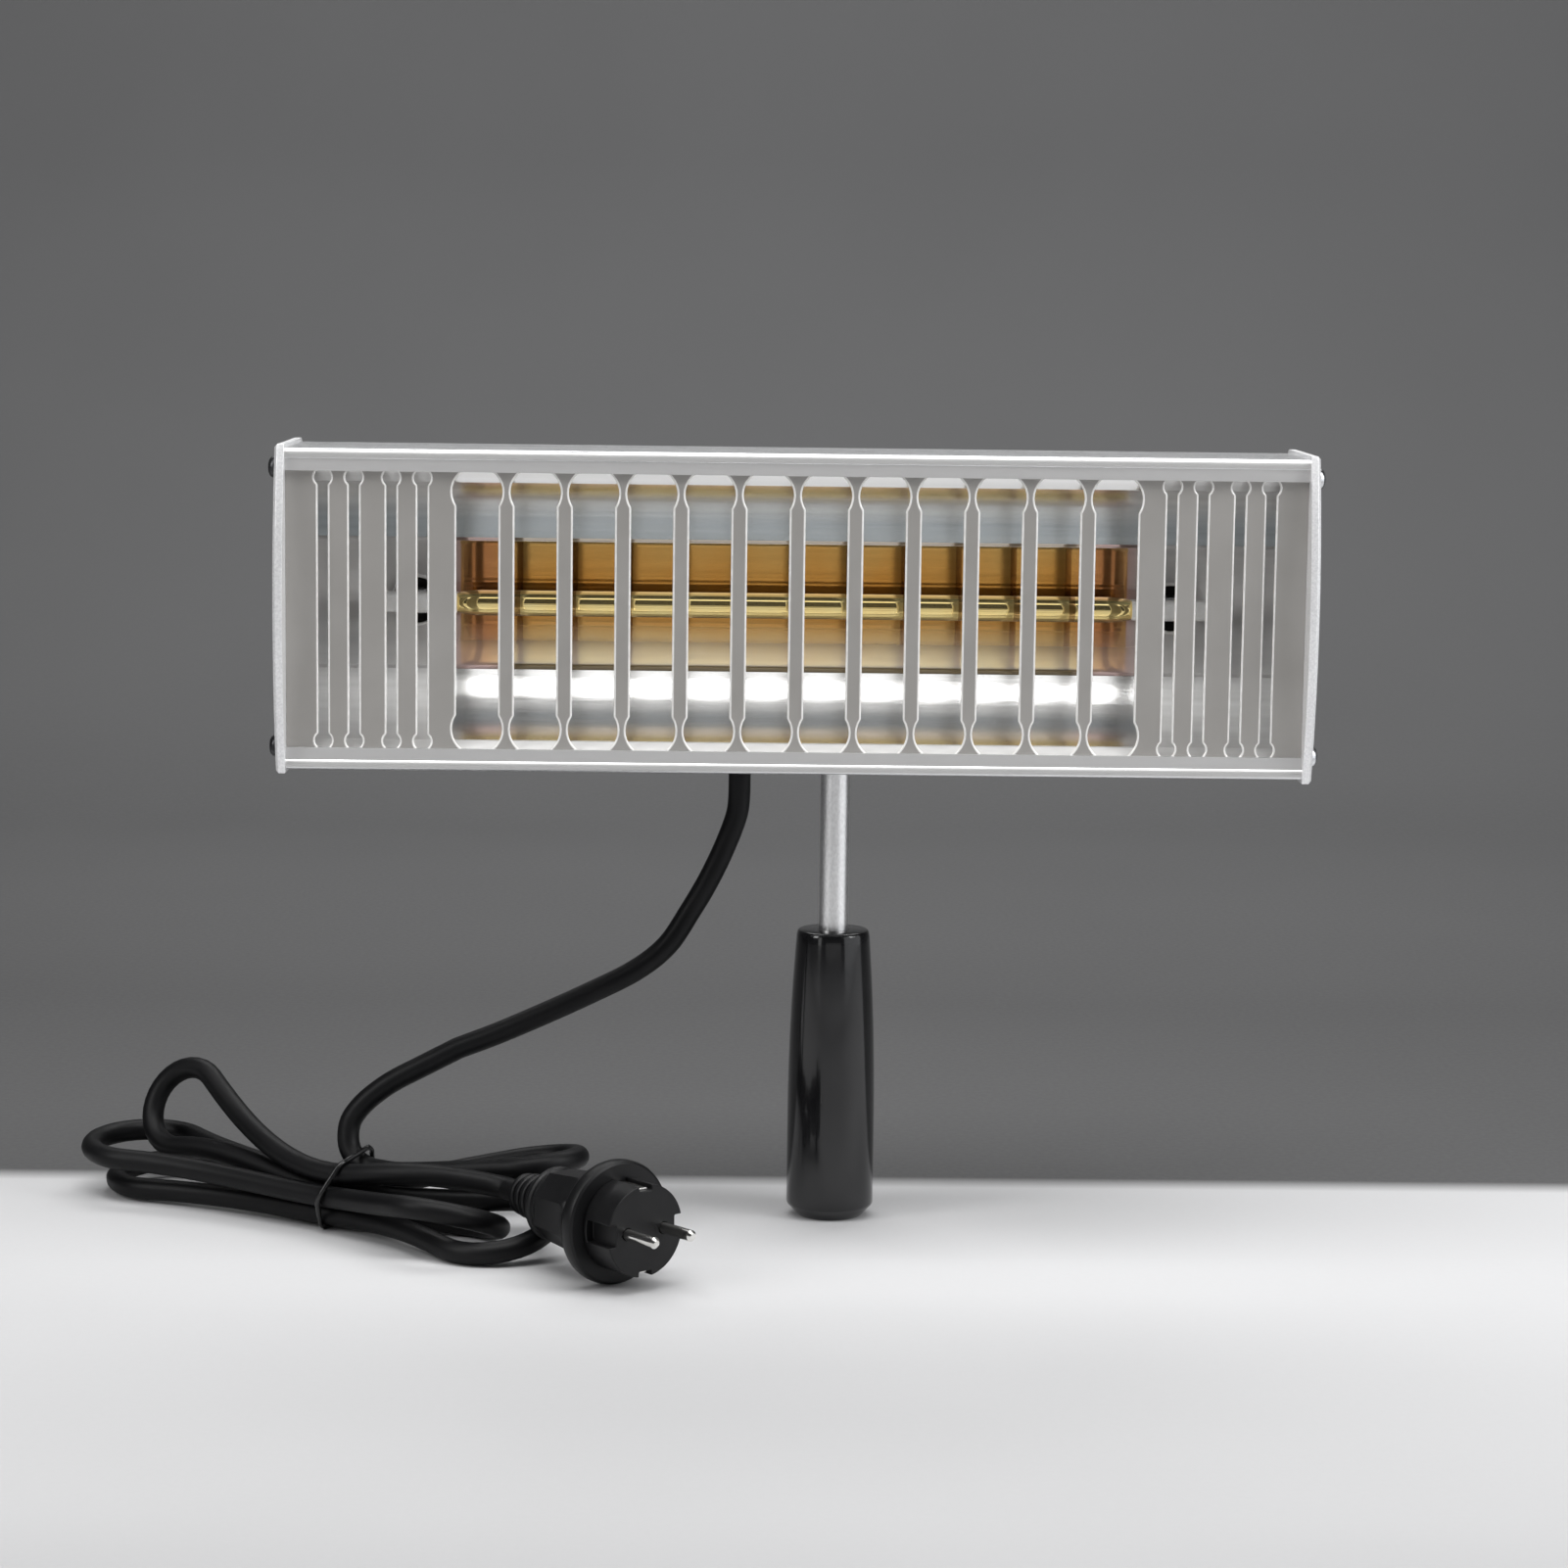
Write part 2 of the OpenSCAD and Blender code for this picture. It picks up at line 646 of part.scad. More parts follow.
module gland_body() color("#222324") difference() {
    at_inlet(gland_low) union() {
        cylinder(d = gland_hex * 2 / sqrt(3), h = gland_flange_t, $fn = 6);
        cylinder(d = gland_d, h = gland_flange_t + cover_wall + 6, $fn = arc_fn);
        translate([0, 0, -gland_neck]) cylinder(d = gland_d, h = gland_neck + 1,
            $fn = arc_fn);
    }
    at_inlet(gland_low - gland_neck - 1)
        cylinder(d = cord_d + 2 * cord_clear, h = 30, $fn = arc_fn);
}

module gland_nut() color("#222324") difference() {
    at_inlet(nut_low) union() {
        translate([0, 0, 4]) cylinder(d = gland_hex * 2 / sqrt(3), h = nut_len - 4,
            $fn = 6);
        rotate_extrude($fn = arc_fn) polygon([[0, 0], [7.6, 0], [9, 1.6],
            [gland_hex / 2, 4], [gland_hex / 2, 5], [0, 5]]);
    }
    at_inlet(gland_low - gland_neck - fit)
        cylinder(d = gland_d + 2 * fit, h = gland_neck + 1, $fn = arc_fn);
    at_inlet(nut_low - 1) cylinder(d = cord_d + 2 * cord_clear, h = nut_len + 2,
        $fn = arc_fn);
}

module gland_locknut() color("#222324") difference() {
    at_inlet(cover_low + cover_wall) cylinder(d = gland_hex * 2 / sqrt(3), h = 4,
        $fn = 6);
    at_inlet(cover_low) cylinder(d = gland_d + 2 * fit, h = 10, $fn = arc_fn);
}

module cord_boot() color("#1c1c1d") at_inlet(cord_exit_z) rotate_extrude($fn = arc_fn)
    difference() {
        pitch = (boot_len - 4) / boot_ribs;
        union() {
            polygon([[0, 0], [6.2, 0], [7.4, boot_len], [0, boot_len]]);
            for (i = [0:boot_ribs - 1])
                translate([0, 1 + i * pitch]) square([6.9 + 0.15 * i, pitch * 0.55]);
        }
        translate([-1, -1]) square([cord_d / 2 + cord_clear + 1, boot_len + 2]);
    }

module cord_inlet() color("#1c1c1d") at_inlet(cord_exit_z)
    cylinder(d = cord_d, h = inlet_top - cord_exit_z, $fn = arc_fn);

// Three cores from the end of the lead to the block and the earth stud
function core_route(x, start) = [[start.x, start.y, core_start],
    [start.x, start.y, core_start + 3], [(start.x + x) / 2, start.y, core_start + 5],
    [x, pole_y, block_low - 1.5], [x, pole_y, block_low + 2]];

module cord_cores() {
    for (c = [[cover_x - pole_pitch / 2, -2.2, "#2f62b0"],
            [cover_x + pole_pitch / 2, 0.6, "#7a4a2a"]])
        color(c[2]) swept_tube(smooth_run(core_route(c[0],
            [c[1] - inlet_x, inlet_y - 1.5]), 4), core_d, 8, [0, 1, 0]);
    color("#7fb04a") swept_tube(smooth_run([[2 - inlet_x, inlet_y + 1.6, core_start],
        [2 - inlet_x, inlet_y + 1.6, core_start + 3],
        [cover_x + earth_x - 3, inlet_y + 0.6, core_start + 7],
        [cover_x + earth_x, inlet_y - 0.4, block_z - 9],
        [cover_x + earth_x, -back_gap + 5, block_z - 4.2]], 4), core_d, 8, [0, 1, 0]);
}

// A tilt bracket: base plate and two ears, in the rod's frame at axis height
module tilt_bracket() color("#2d2e30") translate([0, 0, axis_h]) difference() {
    union() {
        translate([-plate_w / 2, -back_gap, -plate_h / 2])
            cube([plate_w, bracket_t, plate_h]);
        for (side = [-1, 1]) translate([side < 0 ? -ear_x - bracket_t : ear_x, 0, 0])
            rotate([90, 0, 90]) linear_extrude(bracket_t) {
                circle(r = ear_r, $fn = arc_fn);
                translate([-back_gap + overlap, -ear_r]) square([back_gap, 2 * ear_r]);
            }
    }
    rotate([0, 90, 0]) cylinder(d = bolt_d + 2 * fit, h = 60, center = true,
        $fn = arc_fn);
    for (h = bracket_holes) translate([h.x, -back_gap - 1, h.y]) rotate([-90, 0, 0])
        cylinder(d = bracket_screw_d + 2 * fit, h = bracket_t + 2, $fn = arc_fn);
}

module bracket_screws() color("#b9bcc0") for (h = bracket_holes)
    translate([h.x, bracket_t - back_gap, axis_h + h.y]) rotate([-90, 0, 0])
        pan_screw(bracket_screw_d, 9, bracket_t + wall + 2);

module on_tilt_axis(x) translate([x, 0, axis_h]) rotate([0, 90, 0]) children();

module tilt_bolt() color("#b9bcc0") {
    head_x = -ear_x - bracket_t;
    on_tilt_axis(head_x) cylinder(d = bolt_d, h = bolt_len - head_x, $fn = arc_fn);
    on_tilt_axis(head_x - bolt_head_t) rotate_extrude($fn = arc_fn)
        polygon([[0, 0], [4, 0], [6.8, 1.1], [8.2, 2.8], [8.5, bolt_head_t],
            [0, bolt_head_t]]);
}

module flat_washer(d, t) difference() {
    cylinder(d = d, h = t, $fn = arc_fn);
    translate([0, 0, -1]) cylinder(d = bolt_d + 2 * fit, h = t + 2, $fn = arc_fn);
}

module tilt_washers() {
    color("#e8e6dc") for (x = [-ear_x, ear_x - washer_t]) on_tilt_axis(x)
        flat_washer(eye_d, washer_t);
    color("#b9bcc0") on_tilt_axis(ear_x + bracket_t) flat_washer(20, 1.4);
}

module tilt_knob() color("#1f2021") on_tilt_axis(knob_x) difference() {
    union() {
        cylinder(d = 16, h = knob_boss + 1, $fn = arc_fn);
        translate([0, 0, knob_boss]) linear_extrude(knob_t) difference() {
            circle(d = knob_d, $fn = arc_fn);
            for (i = [0:knob_lobes - 1]) rotate(360 * i / knob_lobes)
                translate([knob_d * 0.56, 0]) circle(d = knob_d * 0.3, $fn = arc_fn);
        }
        translate([0, 0, knob_boss + knob_t - overlap])
            cylinder(d = knob_d * 0.55, h = 1.5, $fn = arc_fn);
    }
    translate([0, 0, -1]) cylinder(d = bolt_d + 2 * bolt_clear,
        h = bolt_len - knob_x + 1.5, $fn = arc_fn);
}

module rod_eye() color("#b4b7ba") difference() {
    union() {
        on_tilt_axis(-eye_w / 2) cylinder(d = eye_d, h = eye_w, $fn = arc_fn);
        translate([0, 0, eye_neck]) cylinder(d = rod_d, h = axis_h - eye_neck,
            $fn = arc_fn);
        translate([0, 0, eye_neck - spigot_len]) cylinder(d = rod_bore - 2 * fit,
            h = spigot_len + 1, $fn = arc_fn);
    }
    on_tilt_axis(-eye_w) cylinder(d = bolt_d + 2 * bolt_clear, h = 2 * eye_w,
        $fn = arc_fn);
    pin_place() cylinder(d = pin_hole_d + 2 * fit, h = 30, center = true, $fn = 32);
}

module pin_place() translate([0, 0, eye_neck - 9]) rotate([0, 90, 0]) children();

module rod() color("#c3c5c7") difference() {
    translate([0, 0, rod_foot]) cylinder(d = rod_d, h = eye_neck - rod_foot,
        $fn = arc_fn);
    translate([0, 0, rod_foot - 1]) cylinder(d = rod_bore, h = eye_neck, $fn = arc_fn);
    pin_place() cylinder(d = pin_hole_d + 2 * fit, h = 30, center = true, $fn = 32);
}

module rod_pin() color("#8f9295") pin_place()
    cylinder(d = pin_hole_d, h = rod_d, center = true, $fn = 32);

module rod_insert() color("#b9bcc0") translate([0, 0, rod_foot]) difference() {
    cylinder(d = rod_bore - 2 * fit, h = insert_len, $fn = arc_fn);
    translate([0, 0, -1]) cylinder(d = grip_screw_d + 2 * fit, h = insert_len + 2,
        $fn = arc_fn);
}

// Radius of the grip at a height above its base
function grip_r(z) = z <= grip_belly ? grip_d / 2
    : grip_d / 2 - (grip_d - grip_top_d) / 2
        * pow((z - grip_belly) / (grip_len - grip_belly), 2);

module grip() color("#101011") difference() {
    rotate_extrude($fn = 96) polygon(concat([[0, 0], [grip_base_d / 2, 0],
        [grip_d / 2 - 0.4, grip_chamfer], [grip_d / 2, grip_chamfer + 1]],
        [for (i = [0:12]) let (z = grip_belly + (grip_len - 1 - grip_belly) * i / 12)
            [grip_r(z), z]],
        [[grip_top_d / 2 - 1, grip_len], [0, grip_len]]));
    translate([0, 0, rod_foot]) cylinder(d = rod_d + 2 * fit, h = grip_len,
        $fn = arc_fn);
    translate([0, 0, base_plug_t - overlap])
        cylinder(d = well_d, h = screw_well - base_plug_t + overlap, $fn = arc_fn);
    translate([0, 0, -1]) cylinder(d = base_plug_d + 2 * fit, h = base_plug_t + 1,
        $fn = arc_fn);
    translate([0, 0, 1]) cylinder(d = grip_screw_d + 2 * fit, h = grip_len,
        $fn = arc_fn);
}

module grip_plug() color("#101011")
    cylinder(d = base_plug_d, h = base_plug_t, $fn = arc_fn);

module grip_screw() color("#b9bcc0") translate([0, 0, screw_well]) rotate([180, 0, 0])
    pan_screw(grip_screw_d, 9, rod_foot - screw_well + insert_len - 2);

// The plug lies on its flange: axis from the strain relief's mouth
plug_at = [-132, -76];
plug_turn = -50;
relief_len = 26;
body_len = 32;
flange_t = 8;
flange_x = relief_len + body_len;
front_x = flange_x + flange_t;
face_x = front_x + front_len;
relief_rings = 5;

module plug_frame() translate([plug_at.x, plug_at.y, flange_d / 2])
    rotate([0, 0, plug_turn]) rotate([0, 90, 0]) children();

module plug_shell() color("#161617") plug_frame() {
    rotate_extrude($fn = arc_fn) polygon([[0, 0], [7.2, 0], [9, relief_len],
        [0, relief_len]]);
    for (i = [0:relief_rings - 1])
        translate([0, 0, 1.2 + i * (relief_len - 1) / relief_rings])
        cylinder(r1 = 8.4 + 0.4 * i, r2 = 8.8 + 0.4 * i, h = 2.8, $fn = arc_fn);
    rotate_extrude($fn = arc_fn) polygon([[0, relief_len - overlap],
        [11, relief_len - overlap], [12.5, relief_len + 1.2], [15, relief_len + 12],
        [18, relief_len + 21], [18.6, relief_len + 24], [17, relief_len + 26],
        [17, flange_x], [0, flange_x]]);
    translate([0, 0, relief_len + 3]) intersection() {
        rotate([0, 0, 22.5]) cylinder(r = 17.6, h = 17, $fn = 8);
        cylinder(r1 = 15.6, r2 = 19, h = 17, $fn = arc_fn);
    }
    rotate_extrude($fn = 96) polygon([[0, flange_x - overlap],
        [flange_d / 2 - 2.5, flange_x - overlap], [flange_d / 2 - 0.7, flange_x + 0.9],
        [flange_d / 2, flange_x + 2.8], [flange_d / 2, front_x - 1.6],
        [flange_d / 2 - 1.4, front_x], [0, front_x]]);
}

module plug_face() color("#161617") plug_frame() translate([0, 0, front_x])
    difference() {
        cylinder(d = front_d, h = front_len, $fn = 96);
        for (side = [-1, 1]) {
            translate([side * front_d / 2, 0, front_len / 2 - 0.5])
                cube([5, 6.4, front_len + 2], center = true);
            rotate([0, 0, 90]) translate([side * (front_d / 2 - 1), 0, front_len / 2 + 2])
                cube([6, 9, front_len], center = true);
            rotate([0, 0, 90]) translate([side * pin_pitch / 2, 0, front_len - 6])
                cylinder(d = pin_d + 2 * fit, h = 7, $fn = 32);
        }
    }

module plug_pins() color("#c8cbd0") plug_frame() rotate([0, 0, 90])
    for (side = [-1, 1]) translate([side * pin_pitch / 2, 0, face_x - 6]) {
        cylinder(d = pin_d, h = pin_len + 4.6, $fn = 32);
        translate([0, 0, pin_len + 4.6 - overlap])
            cylinder(d1 = pin_d, d2 = 2.6, h = 1.4, $fn = 32);
    }

module plug_contacts() color("#c8cbd0") plug_frame() for (side = [-1, 1])
    translate([side * (front_d / 2 - 2), 0, front_x + front_len / 2 - 0.5])
        cube([0.8, 4, front_len - 3], center = true);

// Route of the lead from its boot to the hank: chosen points
drop_points = [[-42, -9, 190], [-43, -9, 180], [-48, -9, 166], [-55, -10, 151],
    [-63, -10, 137], [-73, -12, 122], [-87, -14, 111], [-107, -16, 101],
    [-128, -18, 91.5], [-147, -20, 83.5]];

// The hank is folded three times each way through its tie. In its own frame u
// runs along it, v across it to the back and w up.
hank_at = [-215, -33];
hank_turn = -33;
leg_pitch = 10.4;
leg_row = leg_pitch * sqrt(3) / 2;
leg_low = cord_d / 2 + tie_d + 0.2;
// Places of the seven legs in the tie: along it, and in pitches and rows
leg_cells = [[24, 0.665, 2.15], [0, 1, 1], [0, -1, 1], [0, 0.5, 0], [0, -0.5, 0],
    [0, 0, 1], [0, -0.5, 2]];
legs = [for (c = leg_cells) [c.x, c.y * leg_pitch, leg_low + c.z * leg_row]];
// How the lead comes down to its first leg
entry = [[22, 28, 68], [13, 21, 62], [5, 15, 54.5], [0, 11, 47], [-1, 9, 40.5],
    [1, 7.6, 33.5], [6.5, 7, 28.3], [14, 6.9, 26.2]];
join_way = unit([7, 5.5, 4.5]);
join_run = 10;
join = entry[0] + join_run * join_way;
// Round end of each fold: its middle along, across and up, its radius, the lean
// of its plane, and how far its two legs run straight
folds = [[72, 45, 30, 20, -2, 0.5, 0.3], [112, 3.5, 21, 24.5, 183, 0.7, 0.95],
    [60, -3.5, 13.5, 24.5, -21, 0.5, 0.45], [104, 11.5, 7, 25, 183, 1.35, 1.15],
    [81, 3.5, 11, 25, 14, 1.25, 0.8], [96, 11, 39, 18.5, 65, 1.05, 0.95]];
fold_turn = 112;
fold_steps = 4;
tail_pull = [64, 41];
tail_lift = 4;
tail_bow = 5.5;
tail_steps = 13;
mouth = to_hank([plug_at.x, plug_at.y, flange_d / 2]);
mouth_way = [cos(plug_turn - hank_turn), sin(plug_turn - hank_turn), 0];
mouth_run = 10;
hank_sides = 6;

function to_hank(p) = let (dx = p.x - hank_at.x, dy = p.y - hank_at.y)
    [dx * cos(hank_turn) + dy * sin(hank_turn),
    dy * cos(hank_turn) - dx * sin(hank_turn), p.z];

function run_between(a, b, way_a, way_b, s) = (2 * s - 3) * s * s * (a - b) + a
    + s * (s - 1) * (s - 1) * way_a + s * s * (s - 1) * way_b;

function fold_run(k) = let (side = k % 2 == 0 ? 1 : -1, f = folds[k],
    middle = [side * f[0], f[1], f[2]],
    out = unit(middle - (legs[k] + legs[k + 1]) / 2),
    across = square_to([0, cos(f[4]), sin(f[4])], out),
    bend = [for (i = [0:fold_steps]) let (a = fold_turn * (2 * i / fold_steps - 1))
        middle + f[3] * (cos(a) * out + sin(a) * across)],
    last = bend[fold_steps],
    pull_in = f[5] * norm(bend[0] - legs[k]),
    pull_out = f[6] * norm(last - legs[k + 1]),
    way_in = cos(fold_turn) * across + sin(fold_turn) * out,
    way_out = cos(fold_turn) * across - sin(fold_turn) * out)
    concat([for (i = [0:fold_steps - 1]) run_between(legs[k], bend[0],
            [side * pull_in, 0, 0], pull_in * way_in, i / fold_steps)], bend,
        [for (i = [1:fold_steps - 1]) run_between(last, legs[k + 1],
            pull_out * way_out, [-side * pull_out, 0, 0], i / fold_steps)]);

function tail_run() = [for (i = [0:tail_steps]) run_between(legs[6],
    mouth - mouth_run * mouth_way, [tail_pull[0], 0, 0], tail_pull[1] * mouth_way,
    i / tail_steps) + pow(sin(180 * i / tail_steps), 2) * [0, -tail_bow, tail_lift]];

hank_path = concat([join], smooth_run(entry, 1), [for (k = [0:5]) each fold_run(k)],
    tail_run(), [mouth]);

// Least gap of the hank to itself, measured on points along its middle line
sample = 3;
sample_skip = 26;
function spread(p) = [for (i = [0:len(p) - 2]) let (n = ceil(norm(p[i + 1] - p[i])
    / sample)) for (k = [0:n - 1]) p[i] + (p[i + 1] - p[i]) * k / n];
samples = spread(hank_path);
skip_count = ceil(sample_skip / sample) + 1;
least_gap = min([for (i = [0:len(samples) - skip_count - 1])
    for (k = [i + skip_count:len(samples) - 1]) norm(samples[k] - samples[i])]) - cord_d;
function from_hank(p) = [hank_at.x + p.x * cos(hank_turn) - p.y * sin(hank_turn),
    hank_at.y + p.x * sin(hank_turn) + p.y * cos(hank_turn), p.z];

module in_hank() translate([hank_at.x, hank_at.y, 0]) rotate([0, 0, hank_turn]) children();

// The drop leaves the boot straight and meets the hank straight
module cord_drop() color("#1c1c1d") swept_tube(concat([[-inlet_x, inlet_y, cord_exit_z]],
    smooth_run(concat(drop_points, [from_hank(join + join_run * join_way)]), 2),
    [from_hank(join)]), cord_d, 10, [1, 0, 0]);

module cord_hank() {
    echo(str("least gap of the hank to itself ", least_gap));
    color("#1c1c1d") in_hank() swept_tube(hank_path, cord_d, hank_sides);
}

// The tie winds round the six outer legs, leans over and laps its own end
tie_x = 2;
tie_lean = 0.4;
tie_lap = 2.6;
tie_clear = 0.35;
tie_legs = [[15.3, 0.8], [7.6, 13], [-5.2, 9.6], [-11.2, 0.4], [-5.3, -8.85], [5.4, -8.85]];
tie_bend = 30;

module cord_tie() color("#0e0e0f") in_hank() swept_tube([for (i = [0:6], t = [-1:1])
    let (leg = tie_legs[i % 6], a = 60 * i + t * tie_bend,
    r = cord_d / 2 + tie_d / 2 + tie_clear,
    v = leg.x + r * cos(a), w = leg.y + r * sin(a))
    [tie_x + tie_lean * w + tie_lap * i / 6, v, leg_low + leg_row + w]],
    tie_d, 6, [1, 0, 0]);

housing();
reflector();
grille();
end_cap(-1);  // end_cap_left
end_cap(1);  // end_cap_right
cap_screws(-1);  // cap_screws_left
cap_screws(1);  // cap_screws_right
quartz_tube();
filament();
filament_supports();
tube_base(-1);  // tube_base_left
tube_base(1);  // tube_base_right
tube_clip(-1);  // tube_clip_left
tube_clip(1);  // tube_clip_right
clip_screws();
lamp_lead(-1);  // lamp_lead_left
lamp_lead(1);  // lamp_lead_right
terminal_block();
terminal_screws();
earth_stud();
junction_cover();
cover_screws();
gland_body();
gland_nut();
gland_locknut();
cord_boot();
cord_inlet();
cord_cores();
tilt_bracket();
bracket_screws();
tilt_bolt();
tilt_washers();
tilt_knob();
rod_eye();
rod();
rod_pin();
rod_insert();
grip();
grip_screw();
grip_plug();
cord_drop();
cord_hank();
cord_tie();
plug_shell();
plug_face();
plug_pins();
plug_contacts();
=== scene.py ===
# %% [markdown]
# # A hand-held infrared curing lamp
# The object is an aluminium lamp head on a tilting rod with a moulded grip.
# A rubber mains lead comes down behind it into a tied hank and ends in a plug.
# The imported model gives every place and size, so the script starts by loading it.

# %% Load the frame
import json
import math
import bmesh
import bpy
from mathutils import Matrix, Vector

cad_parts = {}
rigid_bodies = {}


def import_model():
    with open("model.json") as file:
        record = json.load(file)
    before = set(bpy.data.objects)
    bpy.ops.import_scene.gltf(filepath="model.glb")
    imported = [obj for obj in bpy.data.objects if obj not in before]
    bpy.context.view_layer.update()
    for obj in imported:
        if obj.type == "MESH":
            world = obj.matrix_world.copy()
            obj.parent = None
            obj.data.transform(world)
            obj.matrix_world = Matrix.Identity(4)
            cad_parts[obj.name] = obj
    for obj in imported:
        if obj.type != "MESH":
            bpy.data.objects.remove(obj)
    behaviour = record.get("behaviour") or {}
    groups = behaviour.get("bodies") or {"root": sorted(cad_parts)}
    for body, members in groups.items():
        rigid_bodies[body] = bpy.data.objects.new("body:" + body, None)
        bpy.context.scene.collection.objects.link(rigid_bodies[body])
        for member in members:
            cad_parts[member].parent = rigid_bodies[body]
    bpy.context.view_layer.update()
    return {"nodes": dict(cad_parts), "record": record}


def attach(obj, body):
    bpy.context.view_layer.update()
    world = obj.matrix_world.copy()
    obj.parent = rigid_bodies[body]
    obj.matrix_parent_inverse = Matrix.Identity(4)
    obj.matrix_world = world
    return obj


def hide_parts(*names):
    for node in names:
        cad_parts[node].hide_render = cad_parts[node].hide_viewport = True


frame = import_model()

MM = 0.001
QUARTER = math.pi / 2
body_of_node = {node: body for body, nodes in
                frame["record"]["behaviour"]["bodies"].items() for node in nodes}

# %% [markdown]
# ## The view
# The lamp is seen from a little above, almost square to its grille, and a long
# lens keeps the head's edges nearly parallel. A constraint could aim the camera,
# but a matrix made from three angles needs nothing else in the scene.

# %% Camera
def put(name, data):
    """Puts an object of this name and data into the scene."""
    thing = bpy.data.objects.new(name, data)
    bpy.context.scene.collection.objects.link(thing)
    return thing

def aim_camera(place, pitch, yaw, roll, lens):
    p, y, r = (math.radians(angle) for angle in (pitch, yaw, roll))
    level = Vector((math.sin(y), math.cos(y), 0))
    right = Vector((math.cos(y), -math.sin(y), 0))
    ahead = level * math.cos(p) - Vector((0, 0, 1)) * math.sin(p)
    up = Vector((0, 0, 1)) * math.cos(p) + level * math.sin(p)
    side = right * math.cos(r) + up * math.sin(r)
    top = up * math.cos(r) - right * math.sin(r)
    camera = put("view", bpy.data.cameras.new("view"))
    camera.data.lens = lens
    camera.data.sensor_width = 36
    camera.data.clip_start = 0.05
    camera.matrix_world = Matrix.Translation(place) @ Matrix(
        (side, top, -ahead)).transposed().to_4x4()
    bpy.context.scene.camera = camera
    return camera

camera = aim_camera((-0.0477, -1.6776, 0.4120), 7.464, 0.861, 0.726, 88.65)
print("camera", [round(v, 4) for v in camera.location])

# %% [markdown]
# ## Finishes
# A real surface is never one flat colour. In each finish one noise wanders
# between two tones, and a fine one roughens the gloss and lifts the surface in
# microns. Object coordinates keep the grain at its real size.

# %% Node trees made line by line
class Tree:
    """A node tree whose inputs take another node's socket or a plain value."""
    def __init__(self, tree):
        self.tree = tree

    def feed(self, socket, value):
        if isinstance(value, bpy.types.NodeSocket):
            self.tree.links.new(value, socket)
        else:
            socket.default_value = value

    def node(self, kind, inputs=(), **settings):
        node = self.tree.nodes.new(kind)
        for key, value in settings.items():
            setattr(node, key, value)
        for key, value in dict(inputs).items():
            self.feed(node.inputs[key], value)
        return node

    def add(self, kind, inputs=(), **settings):
        """Adds a node and returns its first output."""
        return self.node(kind, inputs, **settings).outputs[0]

    def calc(self, operation, *values):
        return self.add("ShaderNodeMath", dict(enumerate(values)), operation=operation)

class Finish(Tree):
    """A material built on object coordinates."""
    def __init__(self, name):
        self.skin = bpy.data.materials.new(name)
        self.skin.use_nodes = True
        super().__init__(self.skin.node_tree)
        self.tree.nodes.clear()
        self.place = self.node("ShaderNodeTexCoord").outputs["Object"]
        self.shader = self.node("ShaderNodeBsdfPrincipled")
        self.node("ShaderNodeOutputMaterial", {"Surface": self.shader.outputs["BSDF"]})

    def along(self, axis, middle=0.0):
        """Distance in metres from `middle` along one axis."""
        apart = self.node("ShaderNodeSeparateXYZ", {0: self.place})
        return self.calc("SUBTRACT", apart.outputs[axis], middle)

    def grain(self, size, stretch=(1, 1, 1), detail=2.0):
        """A noise whose lumps are `size` millimetres, drawn out along `stretch`."""
        scaled = self.add("ShaderNodeMapping", {
            "Vector": self.place, "Scale": [1 / (size * MM * s) for s in stretch]})
        return self.add("ShaderNodeTexNoise", {"Vector": scaled, "Scale": 1.0,
                                               "Detail": detail})

    def tones(self, value, *stops):
        ramp = self.node("ShaderNodeValToRGB", {"Fac": value})
        elements = ramp.color_ramp.elements
        while len(elements) < len(stops):
            elements.new(0.5)
        for element, (at, colour) in zip(elements, stops):
            element.position = at
            element.color = (*colour, 1)
        return ramp.outputs["Color"]

    def two_tones(self, value, dark, light):
        return self.tones(value, (0.3, dark), (0.7, light))

    def between(self, value, low, high, start=0.3, end=0.7):
        """Spreads a value from start..end over low..high, and no further."""
        return self.add("ShaderNodeMapRange", {"Value": value, "From Min": start,
                                               "From Max": end, "To Min": low,
                                               "To Max": high})

    def mix(self, factor, one, other, how="MIX"):
        return self.node("ShaderNodeMix", {0: factor, 6: one, 7: other},
                         data_type="RGBA", blend_type=how).outputs[2]

    def lift(self, height, microns, before=None):
        bump = self.node("ShaderNodeBump", {"Strength": 1.0, "Height": height,
                                            "Distance": microns * 1e-6})
        if before is not None:
            self.feed(bump.inputs["Normal"], before)
        self.feed(self.shader.inputs["Normal"], bump.outputs["Normal"])
        return bump.outputs["Normal"]

    def wear(self, looks):
        for key, value in looks.items():
            self.feed(self.shader.inputs[key], value)
        return self.skin

print("node trees ready")

# %% A finish from two noises
def finish(name, dark, light, rough, metal=0.0, patch=12, pore=0.6, microns=15,
           stretch=(1, 1, 1), specular=0.5):
    made = Finish(name)
    fine = made.grain(pore, stretch, 3)
    made.lift(fine, microns)
    made.skin.diffuse_color = (*light, 1)
    return made.wear({
        "Base Color": made.two_tones(made.grain(patch, stretch), dark, light),
        "Roughness": made.between(fine, *rough), "Metallic": metal,
        "Specular IOR Level": specular})

